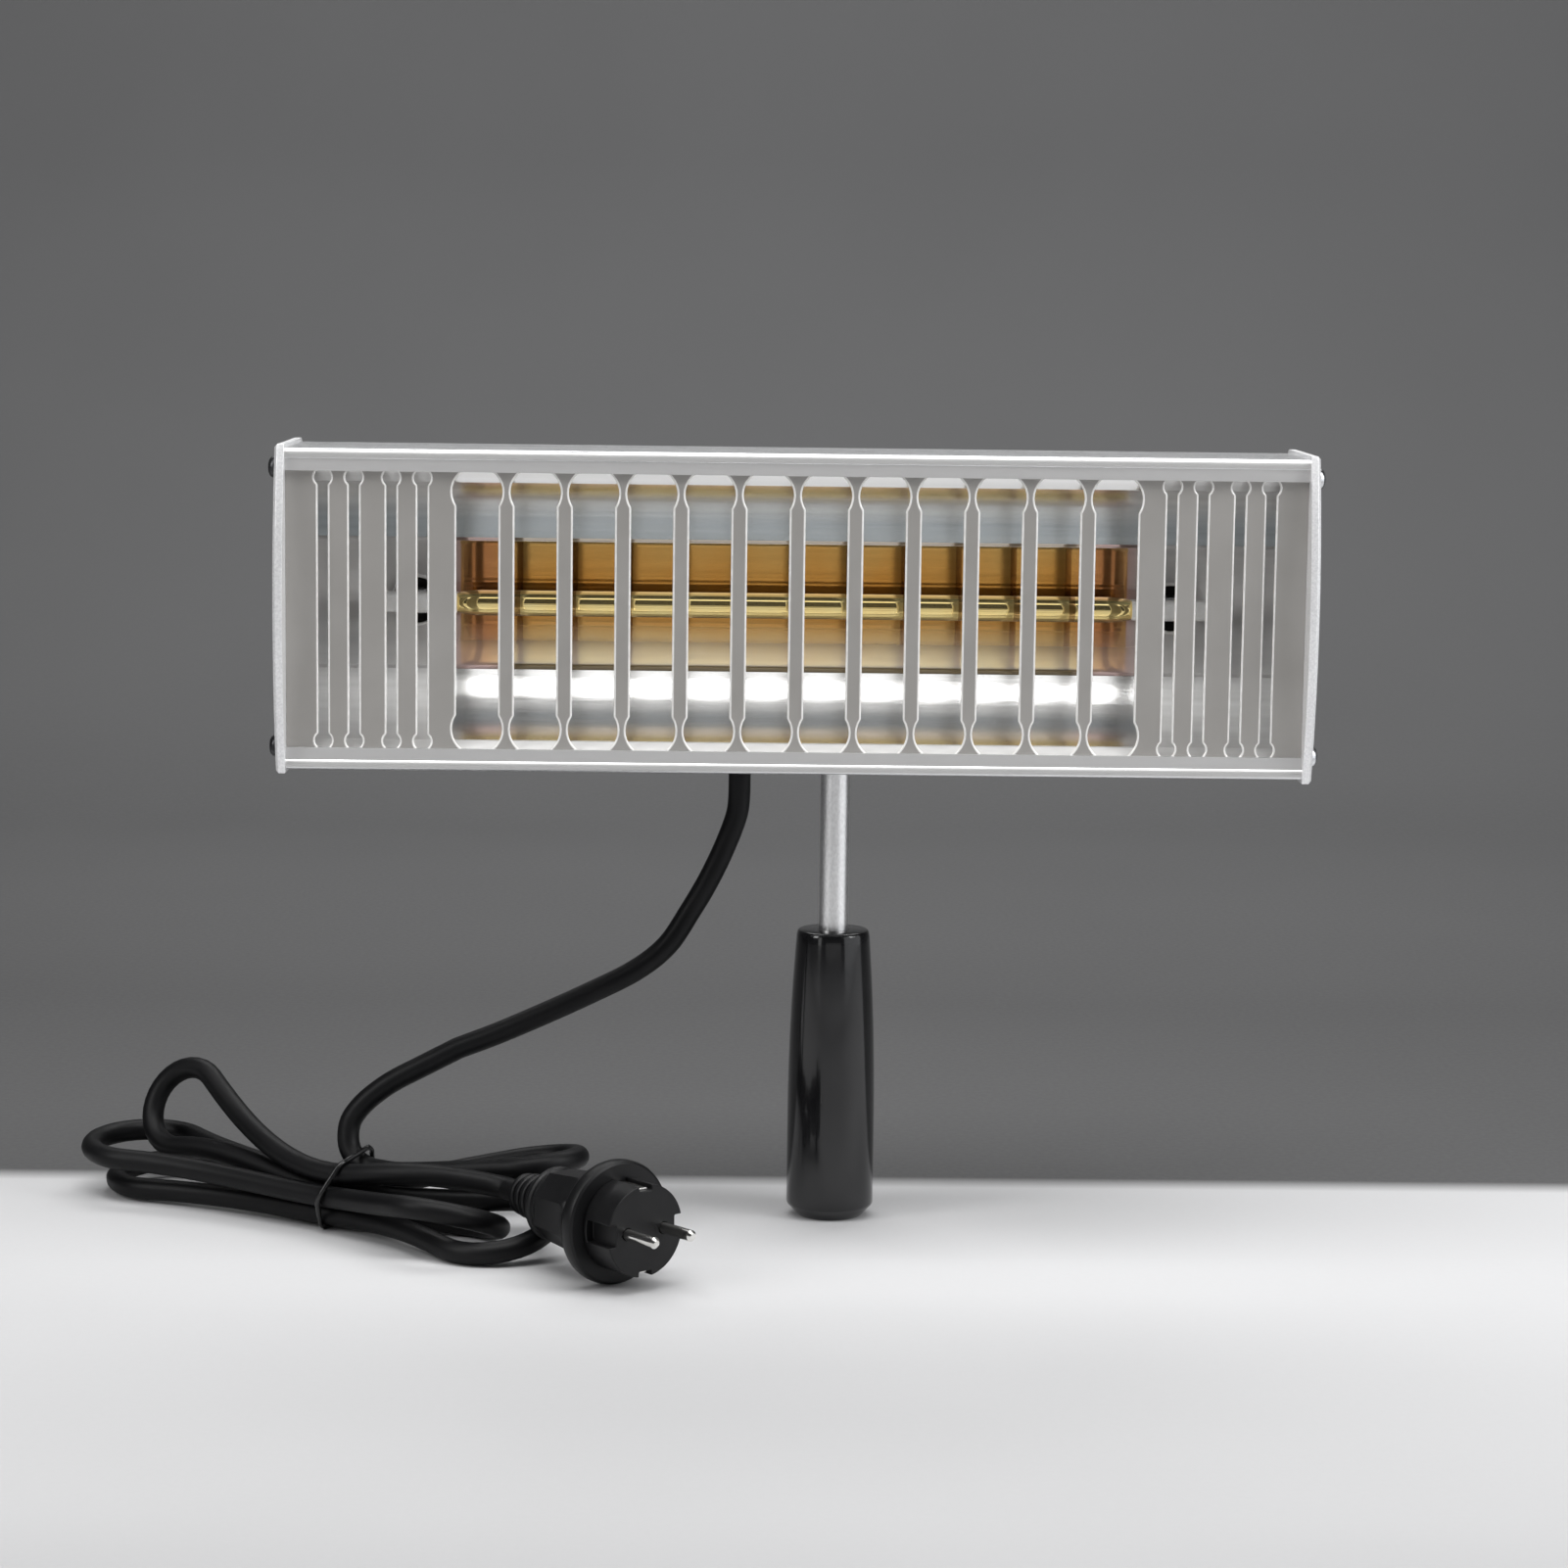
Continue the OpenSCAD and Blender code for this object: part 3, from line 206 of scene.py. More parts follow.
along_x = (60, 1, 1)
drawn_aluminium = finish(
    "drawn aluminium", (0.66, 0.67, 0.68), (0.84, 0.845, 0.85),
    (0.24, 0.36), 1.0, 5, 0.35, 5, along_x)
cord_rubber = finish(
    "black cord rubber", (0.002, 0.002, 0.0025), (0.005, 0.005, 0.0055),
    (0.40, 0.54), 0.0, 30, 0.5, 14, specular=0.2)
plug_rubber = finish(
    "moulded plug rubber", (0.0025, 0.0025, 0.003), (0.006, 0.006, 0.0065),
    (0.36, 0.48), 0.0, 18, 0.4, 12, specular=0.28)
tie_plastic = finish(
    "tie coating", (0.004, 0.004, 0.004), (0.009, 0.009, 0.0095),
    (0.24, 0.34), 0.0, 6, 0.3, 5)
print("finishes", len(bpy.data.materials))

# %% [markdown]
# ## Making and placing a piece
# Every piece ends as one mesh whose object sits at the origin. It rides on the
# body that carries it, and it stands for the plain CAD solids that it replaces.
# Sizes are given in millimetres, as in a workshop drawing.

# %% Put a piece into the model
WELD = 0.002 * MM

def finish_piece(piece, body, nodes=()):
    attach(piece, body)
    if nodes:
        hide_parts(*nodes)
    return piece

def add_piece(name, mesh, skin, body, nodes=(), sharp=50):
    mesh.materials.append(skin)
    mesh.polygons.foreach_set("use_smooth", [True] * len(mesh.polygons))
    mesh.set_sharp_from_angle(angle=math.radians(sharp))
    return finish_piece(put(name, mesh), body, nodes)

def clean(mesh):
    """Welds a mesh and turns its faces outwards."""
    work = bmesh.new()
    work.from_mesh(mesh)
    bmesh.ops.remove_doubles(work, verts=work.verts, dist=WELD)
    bmesh.ops.recalc_face_normals(work, faces=work.faces)
    work.to_mesh(mesh)
    work.free()
    return mesh

def mesh_from(name, points, faces):
    mesh = bpy.data.meshes.new(name)
    mesh.from_pydata([Vector(p) * MM for p in points], [], faces)
    return clean(mesh)

# %% [markdown]
# ## The lead
# The lead is a round rubber cable, 9.6 mm thick, that swings down to the left and
# lies folded in a hank. It could be a Bezier curve with a bevel, but a tube swept
# ring by ring along the formulas of the solid part keeps its turns apart.

# %% Curves that the lead follows
def square_to(v, t):
    return (Vector(v) - t * Vector(v).dot(t)).normalized()

def smooth_run(points, steps):
    p = [Vector(q) for q in points]
    run = []
    for i in range(len(p) - 1):
        a, b, c, d = p[max(i - 1, 0)], p[i], p[i + 1], p[min(i + 2, len(p) - 1)]
        for k in range(steps):
            s = k / steps
            run.append(0.5 * (2 * b + (c - a) * s + (2 * a - 5 * b + 4 * c - d) * s * s
                              + (3 * b - a - 3 * c + d) * s ** 3))
    return run + [p[-1]]

def run_between(a, b, way_a, way_b, s):
    return ((2 * s - 3) * s * s * (a - b) + a + way_a * s * (s - 1) ** 2
            + way_b * s * s * (s - 1))

def length_of(path):
    return sum((b - a).length for a, b in zip(path, path[1:]))

def tube_mesh(name, path, widths, sides=20, first=(0, 0, 1)):
    """A round tube ring by ring, its rings carried along without a twist."""
    last = len(path) - 1
    way = [(path[min(i + 1, last)] - path[max(i - 1, 0)]).normalized()
           for i in range(last + 1)]
    side = square_to(first, way[0])
    points, faces = [], []
    for i, (p, t, width) in enumerate(zip(path, way, widths)):
        side = square_to(side, t)
        for k in range(sides):
            a = 2 * math.pi * k / sides
            points.append(p + (side * math.cos(a) + t.cross(side) * math.sin(a))
                          * (width / 2))
            if i:
                one, other = (i - 1) * sides + k, (i - 1) * sides + (k + 1) % sides
                faces.append((one, other, other + sides, one + sides))
    faces += [tuple(range(sides))[::-1], tuple(last * sides + k for k in range(sides))]
    return mesh_from(name, points, faces)

print("a quarter turn of 10 mm is", round(length_of(
    [Vector((10 * math.cos(a / 20), 10 * math.sin(a / 20), 0)) for a in range(32)]), 2))

# %% The lead's route, in millimetres
cord_d = 9.6
tie_d = 1.8
exit_at = Vector((-42, -9, 200))
drop_points = [(-42, -9, 190), (-43, -9, 180), (-48, -9, 166), (-55, -10, 151),
               (-63, -10, 137), (-73, -12, 122), (-87, -14, 111), (-107, -16, 101),
               (-128, -18, 91.5), (-147, -20, 83.5)]
hank_at = Vector((-215, -33, 0))
hank_turn = math.radians(-33)
leg_pitch = 10.4
leg_row = leg_pitch * math.sqrt(3) / 2
leg_low = cord_d / 2 + tie_d + 0.2
leg_cells = [(24, 0.665, 2.15), (0, 1, 1), (0, -1, 1), (0, 0.5, 0), (0, -0.5, 0),
             (0, 0, 1), (0, -0.5, 2)]
legs = [Vector((u, v * leg_pitch, leg_low + w * leg_row)) for u, v, w in leg_cells]
entry = [(22, 28, 68), (13, 21, 62), (5, 15, 54.5), (0, 11, 47), (-1, 9, 40.5),
         (1, 7.6, 33.5), (6.5, 7, 28.3), (14, 6.9, 26.2)]
join = Vector(entry[0]) + 10 * Vector((7, 5.5, 4.5)).normalized()
before_join = join + 10 * Vector((7, 5.5, 4.5)).normalized()
# Each fold: reach, side and height of its bend, radius, lean, two pulls
folds = [(72, 45, 30, 20, -2, 0.5, 0.3), (112, 3.5, 21, 24.5, 183, 0.7, 0.95),
         (60, -3.5, 13.5, 24.5, -21, 0.5, 0.45), (104, 11.5, 7, 25, 183, 1.35, 1.15),
         (81, 3.5, 11, 25, 14, 1.25, 0.8), (96, 11, 39, 18.5, 65, 1.05, 0.95)]
bend_turn = math.radians(112)
plug_at = Vector((-132, -76, 26))
plug_turn = math.radians(-50)
to_hank = Matrix.Rotation(-hank_turn, 4, "Z") @ Matrix.Translation(-hank_at)
from_hank = to_hank.inverted()
mouth = to_hank @ plug_at
mouth_way = Vector((math.cos(plug_turn - hank_turn), math.sin(plug_turn - hank_turn), 0))

def fold_run(k, leg_steps=14, bend_steps=20):
    """Out of the tie along one leg, round a bend, and back along the next."""
    side = 1 if k % 2 == 0 else -1
    reach, v, w, r, lean, pull_a, pull_b = folds[k]
    middle = Vector((side * reach, v, w))
    out = (middle - (legs[k] + legs[k + 1]) / 2).normalized()
    lean = math.radians(lean)
    across = square_to((0, math.cos(lean), math.sin(lean)), out)
    bend = [middle + r * (math.cos(a) * out + math.sin(a) * across) for a in
            (bend_turn * (2 * i / bend_steps - 1) for i in range(bend_steps + 1))]
    pull_in = pull_a * (bend[0] - legs[k]).length
    pull_out = pull_b * (bend[-1] - legs[k + 1]).length
    way_in = math.cos(bend_turn) * across + math.sin(bend_turn) * out
    way_out = math.cos(bend_turn) * across - math.sin(bend_turn) * out
    go = [run_between(legs[k], bend[0], Vector((side * pull_in, 0, 0)),
                      pull_in * way_in, i / leg_steps) for i in range(leg_steps)]
    back = [run_between(bend[-1], legs[k + 1], pull_out * way_out,
                        Vector((-side * pull_out, 0, 0)), i / leg_steps)
            for i in range(1, leg_steps)]
    return go + bend + back

def tail_run(steps=40):
    """Over the top of the hank and into the plug's strain relief."""
    return [run_between(legs[6], mouth - 10 * mouth_way, Vector((64, 0, 0)),
                        41 * mouth_way, i / steps)
            + math.sin(math.pi * i / steps) ** 2 * Vector((0, -5.5, 4))
            for i in range(steps + 1)]

hank = [join] + smooth_run(entry, 4)
for k in range(len(folds)):
    hank += fold_run(k)
hank += tail_run() + [mouth]
lead_path = [exit_at] + smooth_run(drop_points + [from_hank @ before_join], 6)
lead_path += [from_hank @ p for p in hank]
lead_path = [p for i, p in enumerate(lead_path)
             if i == 0 or (p - lead_path[i - 1]).length > 0.05]
for p in lead_path:
    p.z = max(p.z, cord_d / 2 + 0.05)
lead_length = length_of(lead_path) * MM
print("lead", round(lead_length, 4), "m in", len(lead_path), "points, lowest",
      round(min(p.z for p in lead_path) - cord_d / 2, 2), "mm above the table")

# %% [markdown]
# ## The tie
# A thin coated wire is wound once round the bundle of legs and leans over. Its
# path steps round the outer legs one by one, so it touches each of them, and a
# smooth run through those points rounds it off. It is a little thicker on top.

# %% Lead and tie
lead = add_piece("supply_lead", tube_mesh(
    "supply_lead", lead_path, [cord_d] * len(lead_path), first=(1, 0, 0)), cord_rubber,
    "head", ["cord_hank", "cord_drop"])
tie_legs = [(15.3, 0.8), (7.6, 13), (-5.2, 9.6), (-11.2, 0.4), (-5.3, -8.85),
            (5.4, -8.85)]

def tie_point(i, t):
    """A point beside leg i, t half steps on round it; the tie leans as it goes."""
    v, w = tie_legs[i % 6]
    a = math.radians(60 * i + 30 * t)
    r = cord_d / 2 + tie_d / 2 + 0.35
    v, w = v + r * math.cos(a), w + r * math.sin(a)
    return Vector((2 + 0.4 * w + 2.6 * i / 6, v, leg_low + leg_row + w))

tie_path = [tie_point(i, t) for i in range(7) for t in (-1, -0.5, 0, 0.5, 1)]
tie_path = [from_hank @ p for p in smooth_run(tie_path, 2)]
tie_widths = [tie_d + 0.6 * min(max((p.z - 4) / 8, 0), 1) for p in tie_path]
tie = add_piece("lead_tie", tube_mesh("lead_tie", tie_path, tie_widths, 14),
                tie_plastic, "head", ["cord_tie"])
print("tie", round(length_of(tie_path), 1), "mm")

# %% [markdown]
# ## Dressing a machined or moulded part
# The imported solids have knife-sharp edges, and no real edge is that sharp. A copy
# of such a solid is welded, its flat triangles are joined into whole faces, and a
# small bevel rounds each corner so that it catches light. A weighted normal keeps
# the flat faces flat.

# %% Rounded copy of a solid
def settle(piece):
    """Turns a piece with modifiers into its plain finished mesh."""
    graph = bpy.context.evaluated_depsgraph_get()
    done = bpy.data.meshes.new_from_object(piece.evaluated_get(graph))
    piece.modifiers.clear()
    piece.data = done
    return done

def round_edges(mesh, edge, steps, angle):
    """Bevels a mesh's sharp edges by `edge` millimetres and smooths the result."""
    piece = put("edges", mesh)
    mesh.polygons.foreach_set("use_smooth", [True] * len(mesh.polygons))
    bevel = piece.modifiers.new("edge", "BEVEL")
    bevel.width = edge * MM
    bevel.segments = steps
    bevel.limit_method = "ANGLE"
    bevel.angle_limit = math.radians(angle)
    bevel.miter_outer = "MITER_ARC"
    piece.modifiers.new("flat", "WEIGHTED_NORMAL").keep_sharp = True
    done = settle(piece)
    bpy.data.objects.remove(piece)
    return done

def dress(node, skins, edge, steps, angle, choose=None):
    """A rounded copy of a solid; `choose` picks a skin from a face's place and way."""
    work = bmesh.new()
    work.from_mesh(frame["nodes"][node].data)
    bmesh.ops.remove_doubles(work, verts=work.verts, dist=WELD)
    bmesh.ops.dissolve_limit(work, angle_limit=math.radians(0.6), verts=work.verts,
                             edges=work.edges)
    mesh = bpy.data.meshes.new(node + "_copy")
    work.to_mesh(mesh)
    work.free()
    mesh.materials.clear()
    for skin in skins:
        mesh.materials.append(skin)
    if choose:
        for face in mesh.polygons:
            face.material_index = choose(face.center / MM, face.normal)
    mesh = round_edges(mesh, edge, steps, angle)
    return finish_piece(put(node + "_made", mesh), body_of_node[node], [node])

def coat(skin, *nodes):
    """Gives a carried-over solid its finish without touching its mesh."""
    for node in nodes:
        solid = frame["nodes"][node]
        if not solid.data.materials:
            solid.data.materials.append(skin)
        for slot in solid.material_slots:
            slot.link = "OBJECT"
            slot.material = skin

# %% [markdown]
# ## The head's shell
# The shell is one aluminium extrusion with a rounded bead along each lip. It is
# bright outside with faint lines left by the die, and its slanted inner panels
# are polished, because they throw the heat forwards with the reflector.

# %% Extruded shell
head_mid = Vector((-19.5, -87, 274))
panel_mid = 43.85 * MM
panel_half = 23.7 * MM
panel_rise = 0.669

def hollow_polish(name, lean, turn_at=16, turn_early=3, turn_slope=0.85,
                  flat_share=0.55):
    """Polish on a panel that is slightly hollow: its slope leans by `lean` degrees
    from its middle to either edge, so it gathers light as a curved mirror does.
    The inner half of the upper panel is flatter, the last few millimetres before
    each lip turn back, the lowest edge is bare and pale, and past the tube's ends
    the polish is duller. The inner part of the upper panel is painted grey-blue,
    a painted reflection of the shaded table."""
    made = Finish(name)
    calc = made.calc
    height = made.along("Z", head_mid.z * MM)
    above = calc("GREATER_THAN", height, 0.0)
    along = calc("DIVIDE", calc("SUBTRACT", calc("ABSOLUTE", height), panel_mid),
                 panel_rise)
    flatter = calc("MULTIPLY", above, calc("LESS_THAN", along, 0.0))
    steep = math.tan(math.radians(lean)) / (2 * panel_half)
    hollow = calc("MULTIPLY", calc("MULTIPLY", along, along), calc(
        "SUBTRACT", steep, calc("MULTIPLY", flatter, flat_share * steep)))
    turn_from = calc("SUBTRACT", turn_at * MM, calc("MULTIPLY", above, turn_early * MM))
    past = calc("MAXIMUM", calc("SUBTRACT", along, turn_from), 0.0)
    depth = calc("SUBTRACT", hollow, calc("MULTIPLY", past, turn_slope))
    lines = made.grain(0.5, along_x, 3)
    made.lift(lines, 3, made.add("ShaderNodeBump", {"Distance": 1.0, "Height": depth}))
    # Painted reflection: the inner part of the upper panel is mixed to a grey-blue tone
    # that stands in for the shaded table it reflects.
    shaded = calc("MULTIPLY", above, made.between(height, 0, 1, 0.048, 0.036))
    streaks = made.grain(4, along_x)
    clear = made.two_tones(streaks, (0.86, 0.855, 0.84), (0.95, 0.945, 0.935))
    shade = made.two_tones(streaks, (0.57, 0.62, 0.65), (0.65, 0.70, 0.73))
    out = calc("ABSOLUTE", made.along("X", head_mid.x * MM))
    return made.wear({
        "Base Color": made.mix(shaded, clear, shade),
        "Roughness": calc("ADD", made.between(lines, 0.15, 0.22),
                          made.between(out, 0, 0.35, 0.142, 0.150)),
        "Metallic": made.between(height, 1, 0, -0.0542, -0.0550)})

panel_polish = hollow_polish("polished hollow panel", 23)
grille_sheet = finish(
    "satin grille sheet", (0.40, 0.385, 0.365), (0.44, 0.425, 0.405),
    (0.42, 0.5), 0.6, 30, 0.4, 4)
satin_lip = finish(
    "satin lip", (0.56, 0.555, 0.55), (0.62, 0.615, 0.61),
    (0.4, 0.5), 0.55, 20, 0.4, 4, along_x)
# Painted shade: the deep wall behind the strip is made nearly black to stand in for the
# shade that falls there.
painted_shade_wall = finish(
    "raw inner wall", (0.05, 0.046, 0.042), (0.09, 0.084, 0.078),
    (0.5, 0.65), 0.7, 6, 0.5, 8, along_x)
shell_skins = [drawn_aluminium, panel_polish, satin_lip, painted_shade_wall]

def shell_skin(middle, normal):
    """Lips, the wall behind the strip in painted shade, polished panels, and drawn metal
    elsewhere.
    """
    depth, height = middle.y - head_mid.y, abs(middle.z - head_mid.z)
    if depth < 3 and normal.y < -0.8:
        return shell_skins.index(satin_lip)
    if depth > 57 and normal.y < -0.5:
        return shell_skins.index(painted_shade_wall)
    inner = 4 < depth < 52 and height < 61 and normal.y < -0.05
    return shell_skins.index(panel_polish if inner else drawn_aluminium)

shell = dress("housing", shell_skins, 0.22, 2, 40, shell_skin)
print("shell faces", len(shell.data.polygons))

# %% [markdown]
# ## The reflector
# Behind the tube a strip of bright rolled sheet is sprung into the extrusion. Its
# section is a parabola with the tube near its focus. The copy of the solid has
# that curve; smooth shading turns its narrow facets into one even mirror. Its
# colour holds a painted reflection of the gold tube, set by height.

# %% Concave strip
def mirror_with_painted_reflection(name, half=0.027):
    """A rolled sheet whose colour holds a painted reflection of the gold tube: brown
    beside the tube, paler and duller below, pinkish by the tube's ends, and clear
    but dull past them. A dark line runs along the lower seam."""
    made = Finish(name)
    height = made.along("Z", head_mid.z * MM)
    out = made.calc("ABSOLUTE", made.along("X", head_mid.x * MM))
    ends = made.between(out, 0, 1, 0.116, 0.152)
    # Painted reflection: these tones by height copy the gold tube's reflection in the
    # sheet; the dark stop at the bottom is the lower seam.
    painted_tube_reflection = made.tones(
        made.between(height, 0, 1, -half, half), (0.020, (0.30, 0.24, 0.15)),
        (0.030, (1.0, 0.97, 0.94)), (0.2, (1.0, 0.90, 0.83)), (0.38, (1.0, 0.78, 0.58)),
        (0.62, (0.98, 0.76, 0.53)), (1.0, (1.0, 0.88, 0.75)))
    painted_end_reflection = made.tones(ends, (0.3, (0.90, 0.66, 0.61)), (0.68, (0.88, 0.66, 0.62)),
                        (0.95, (0.90, 0.89, 0.88)))
    painted_reflection = made.mix(made.between(ends, 0, 1, 0.05, 0.4), painted_tube_reflection, painted_end_reflection)
    streaks = made.two_tones(made.grain(5, along_x), (0.93, 0.93, 0.93), (1, 1, 1))
    lines = made.grain(0.3, along_x, 3)
    made.lift(lines, 4)
    return made.wear({
        "Base Color": made.mix(1.0, painted_reflection, streaks, "MULTIPLY"),
        "Metallic": made.between(height, 0.6, 1.0, -0.021, -0.008),
        "Roughness": made.calc("MULTIPLY_ADD", made.between(ends, 0, 1, 0.7, 1.0), 0.3,
                               made.between(lines, 0.06, 0.12))})

strip = dress("reflector", [mirror_with_painted_reflection("rolled mirror sheet")], 0.15, 1, 40)
print("strip faces", len(strip.data.polygons))

# %% [markdown]
# ## The grille
# A punched sheet keeps hands off the hot tube. Twelve wide slots with round ends
# lie in front of the tube, and four narrow ones at each end let warm air out.
# This is the piece that takes the most skill to make, a stamping whose slots
# follow a rule, so it is built by Geometry Nodes from named sizes: one outline
# is repeated along a line, the sheet is filled round it and then thickened.

# %% A geometry tree with named sizes
class Plan(Tree):
    def __init__(self, name, sizes):
        super().__init__(bpy.data.node_groups.new(name, "GeometryNodeTree"))
        face = self.tree.interface
        face.new_socket("Geometry", in_out="INPUT", socket_type="NodeSocketGeometry")
        self.ids = {}
        for label, value in sizes.items():
            kind = "NodeSocketInt" if isinstance(value, int) else "NodeSocketFloat"
            self.ids[label] = face.new_socket(label, in_out="INPUT",
                                              socket_type=kind).identifier
        face.new_socket("Geometry", in_out="OUTPUT", socket_type="NodeSocketGeometry")
        self.sizes = sizes
        self.given = self.node("NodeGroupInput").outputs

    def xyz(self, **parts):
        return self.add("ShaderNodeCombineXYZ", parts)

    def skinned(self, geometry, skin):
        return self.add("GeometryNodeSetMaterial", {"Geometry": geometry,
                                                    "Material": skin})

    def repeat(self, points, shape, **more):
        return self.add("GeometryNodeInstanceOnPoints",
                        {"Points": points, "Instance": shape, **more})

    def join(self, *parts):
        node = self.node("GeometryNodeJoinGeometry")
        for part in parts:
            self.tree.links.new(part, node.inputs[0])
        return node.outputs[0]

    def real(self, geometry):
        return self.add("GeometryNodeRealizeInstances", {"Geometry": geometry})

    def run(self, name, result, seed_mesh=None):
        """Ends the tree, evaluates it on a mesh and returns the mesh it makes."""
        self.node("NodeGroupOutput", {0: result})
        piece = put(name, seed_mesh or bpy.data.meshes.new("seed"))
        maker = piece.modifiers.new("maker", "NODES")
        maker.node_group = self.tree
        for label, value in self.sizes.items():
            maker[self.ids[label]] = value
        mesh = settle(piece)
        mesh.name = name
        bpy.data.objects.remove(piece)
        return mesh

print("geometry trees ready")

# %% Slot outline from a circle
def slot_outline(plan, width, end_d, gap, points=48):
    """A round curve whose two halves move apart: a slot with swollen round ends."""
    calc = plan.calc
    index = plan.add("GeometryNodeInputIndex")
    half = points // 2
    lower = calc("GREATER_THAN", index, half - 0.5)
    step = calc("DIVIDE", calc("MODULO", index, half), half - 1)
    radius = calc("DIVIDE", end_d, 2.0)
    dip = calc("ARCCOSINE", calc("DIVIDE", width, end_d))
    sweep = calc("ADD", calc("MULTIPLY", dip, 2.0), math.pi)
    angle = calc("SUBTRACT", calc("MULTIPLY", step, sweep), dip)
    across = calc("MULTIPLY", calc("COSINE", angle), radius)
    along = calc("ADD", calc("MULTIPLY", calc("SINE", angle), radius),
                 calc("DIVIDE", gap, 2.0))
    turn = calc("SUBTRACT", 1.0, calc("MULTIPLY", lower, 2.0))
    circle = plan.add("GeometryNodeCurvePrimitiveCircle", {"Resolution": points,
                                                          "Radius": 1.0})
    return plan.add("GeometryNodeSetPosition", {
        "Geometry": circle, "Position": plan.xyz(X=calc("MULTIPLY", across, turn),
                                                 Y=calc("MULTIPLY", along, turn))})

def row_of(plan, outline, start, pitch, count):
    line = plan.add("GeometryNodeMeshLine", {
        "Count": count, "Start Location": plan.xyz(X=start),
        "Offset": plan.xyz(X=pitch)})
    return plan.real(plan.repeat(line, outline))

# %% Stamped sheet
# Painted highlight: the slot edges and the hole rims get this much brighter finish, which
# stands in for the light their edges catch.
painted_highlight_edge = finish(
    "bright rolled edge", (0.80, 0.785, 0.765), (0.92, 0.91, 0.89),
    (0.3, 0.42), 0.35, 3, 0.3, 4)
sheet = Plan("grille sheet", {
    "Sheet length": 421.9, "Sheet height": 123.0, "Sheet thickness": 1.0,
    "Wide slots": 12, "Wide pitch": 24.0, "Wide width": 18.5, "Wide end": 21.9,
    "Wide gap": 98.2, "Narrow width": 5.2, "Narrow end": 8.2, "Narrow gap": 109.0,
    "Narrow start": 154.6, "Narrow pitch": 12.8, "Pair pitch": 28.2,
    "Bead radius": 0.6})
size, calc = sheet.given, sheet.calc
edge = sheet.add("GeometryNodeCurvePrimitiveQuadrilateral", {
    "Width": size["Sheet length"], "Height": size["Sheet height"]})
wide = slot_outline(sheet, size["Wide width"], size["Wide end"], size["Wide gap"])
first = calc("MULTIPLY", calc("MULTIPLY", calc("SUBTRACT", size["Wide slots"], 1.0),
                              size["Wide pitch"]), -0.5)
slots = [row_of(sheet, wide, first, size["Wide pitch"], size["Wide slots"])]
narrow = slot_outline(sheet, size["Narrow width"], size["Narrow end"],
                      size["Narrow gap"], 32)
for side in (-1.0, 1.0):
    for shift in (0.0, 1.0):
        begin = calc("ADD", size["Narrow start"],
                     calc("MULTIPLY", size["Narrow pitch"], shift))
        slots.append(row_of(sheet, narrow, calc("MULTIPLY", begin, side),
                            calc("MULTIPLY", size["Pair pitch"], side), 2))
filled = sheet.node("GeometryNodeFillCurve", {"Curve": sheet.join(edge, *slots)})
filled.mode = "NGONS"
filled = filled.outputs[0]
# A round bead along each slot's edge carries the bright finish, a painted highlight on
# the slot rims.
highlight_beads = sheet.add("GeometryNodeCurveToMesh", {
    "Curve": sheet.join(*slots), "Profile Curve": sheet.add(
        "GeometryNodeCurvePrimitiveCircle", {"Resolution": 8,
                                             "Radius": size["Bead radius"]})})
raised = sheet.add("GeometryNodeTransform", {
    "Geometry": highlight_beads,
    "Translation": sheet.xyz(Z=calc("MULTIPLY", size["Sheet thickness"], 0.5))})
thick = sheet.add("GeometryNodeExtrudeMesh", {
    "Mesh": filled, "Offset Scale": size["Sheet thickness"], "Individual": False})
back = sheet.add("GeometryNodeFlipFaces", {"Mesh": filled})
whole = sheet.add("GeometryNodeMergeByDistance", {"Geometry": sheet.join(thick, back),
                                                  "Distance": 0.001})
grille_mesh = sheet.run("grille_sheet", sheet.real(sheet.join(
    sheet.skinned(whole, grille_sheet), sheet.skinned(raised, painted_highlight_edge))))
given_skins = list(grille_mesh.materials)
# Faces of the bead are marked here for the painted highlight finish.
bright = [int(given_skins[face.material_index] == painted_highlight_edge)
          for face in grille_mesh.polygons]
grille_mesh.materials.clear()
for skin in (grille_sheet, painted_highlight_edge):
    grille_mesh.materials.append(skin)
grille_mesh.polygons.foreach_set("material_index", bright)
print("grille faces before its edges are rounded", len(grille_mesh.polygons))

# %% Stand the sheet up in its slot and round its edges
slot_depth = 3.2
grille_mesh.transform(Matrix.Scale(MM, 4)
                      @ Matrix.Translation(head_mid + Vector((0, slot_depth, 0)))
                      @ Matrix.Rotation(QUARTER, 4, "X"))
grille_mesh = round_edges(clean(grille_mesh), 0.12, 1, 60)
grille = finish_piece(put("slotted_grille", grille_mesh), "head", ["grille"])
print("grille", [round(v / MM, 1) for v in grille.dimensions], len(grille_mesh.polygons))

# %% [markdown]
# ## End caps and their screws
# A cap with a rounded rim and a fine bright speckle closes each end, held by four
# pan-head screws. A screw is turned once, its cross recess is cut out with a
# Boolean, and Geometry Nodes set a copy on each hole with its own roll.

# %% Caps
cap_cast = finish(
    "speckled cap", (0.80, 0.80, 0.81), (0.97, 0.97, 0.975),
    (0.3, 0.44), 0.5, 0.9, 0.5, 25)
for side in ("left", "right"):
    dress("end_cap_" + side, [cap_cast], 0.45, 3, 20)
print("caps done")

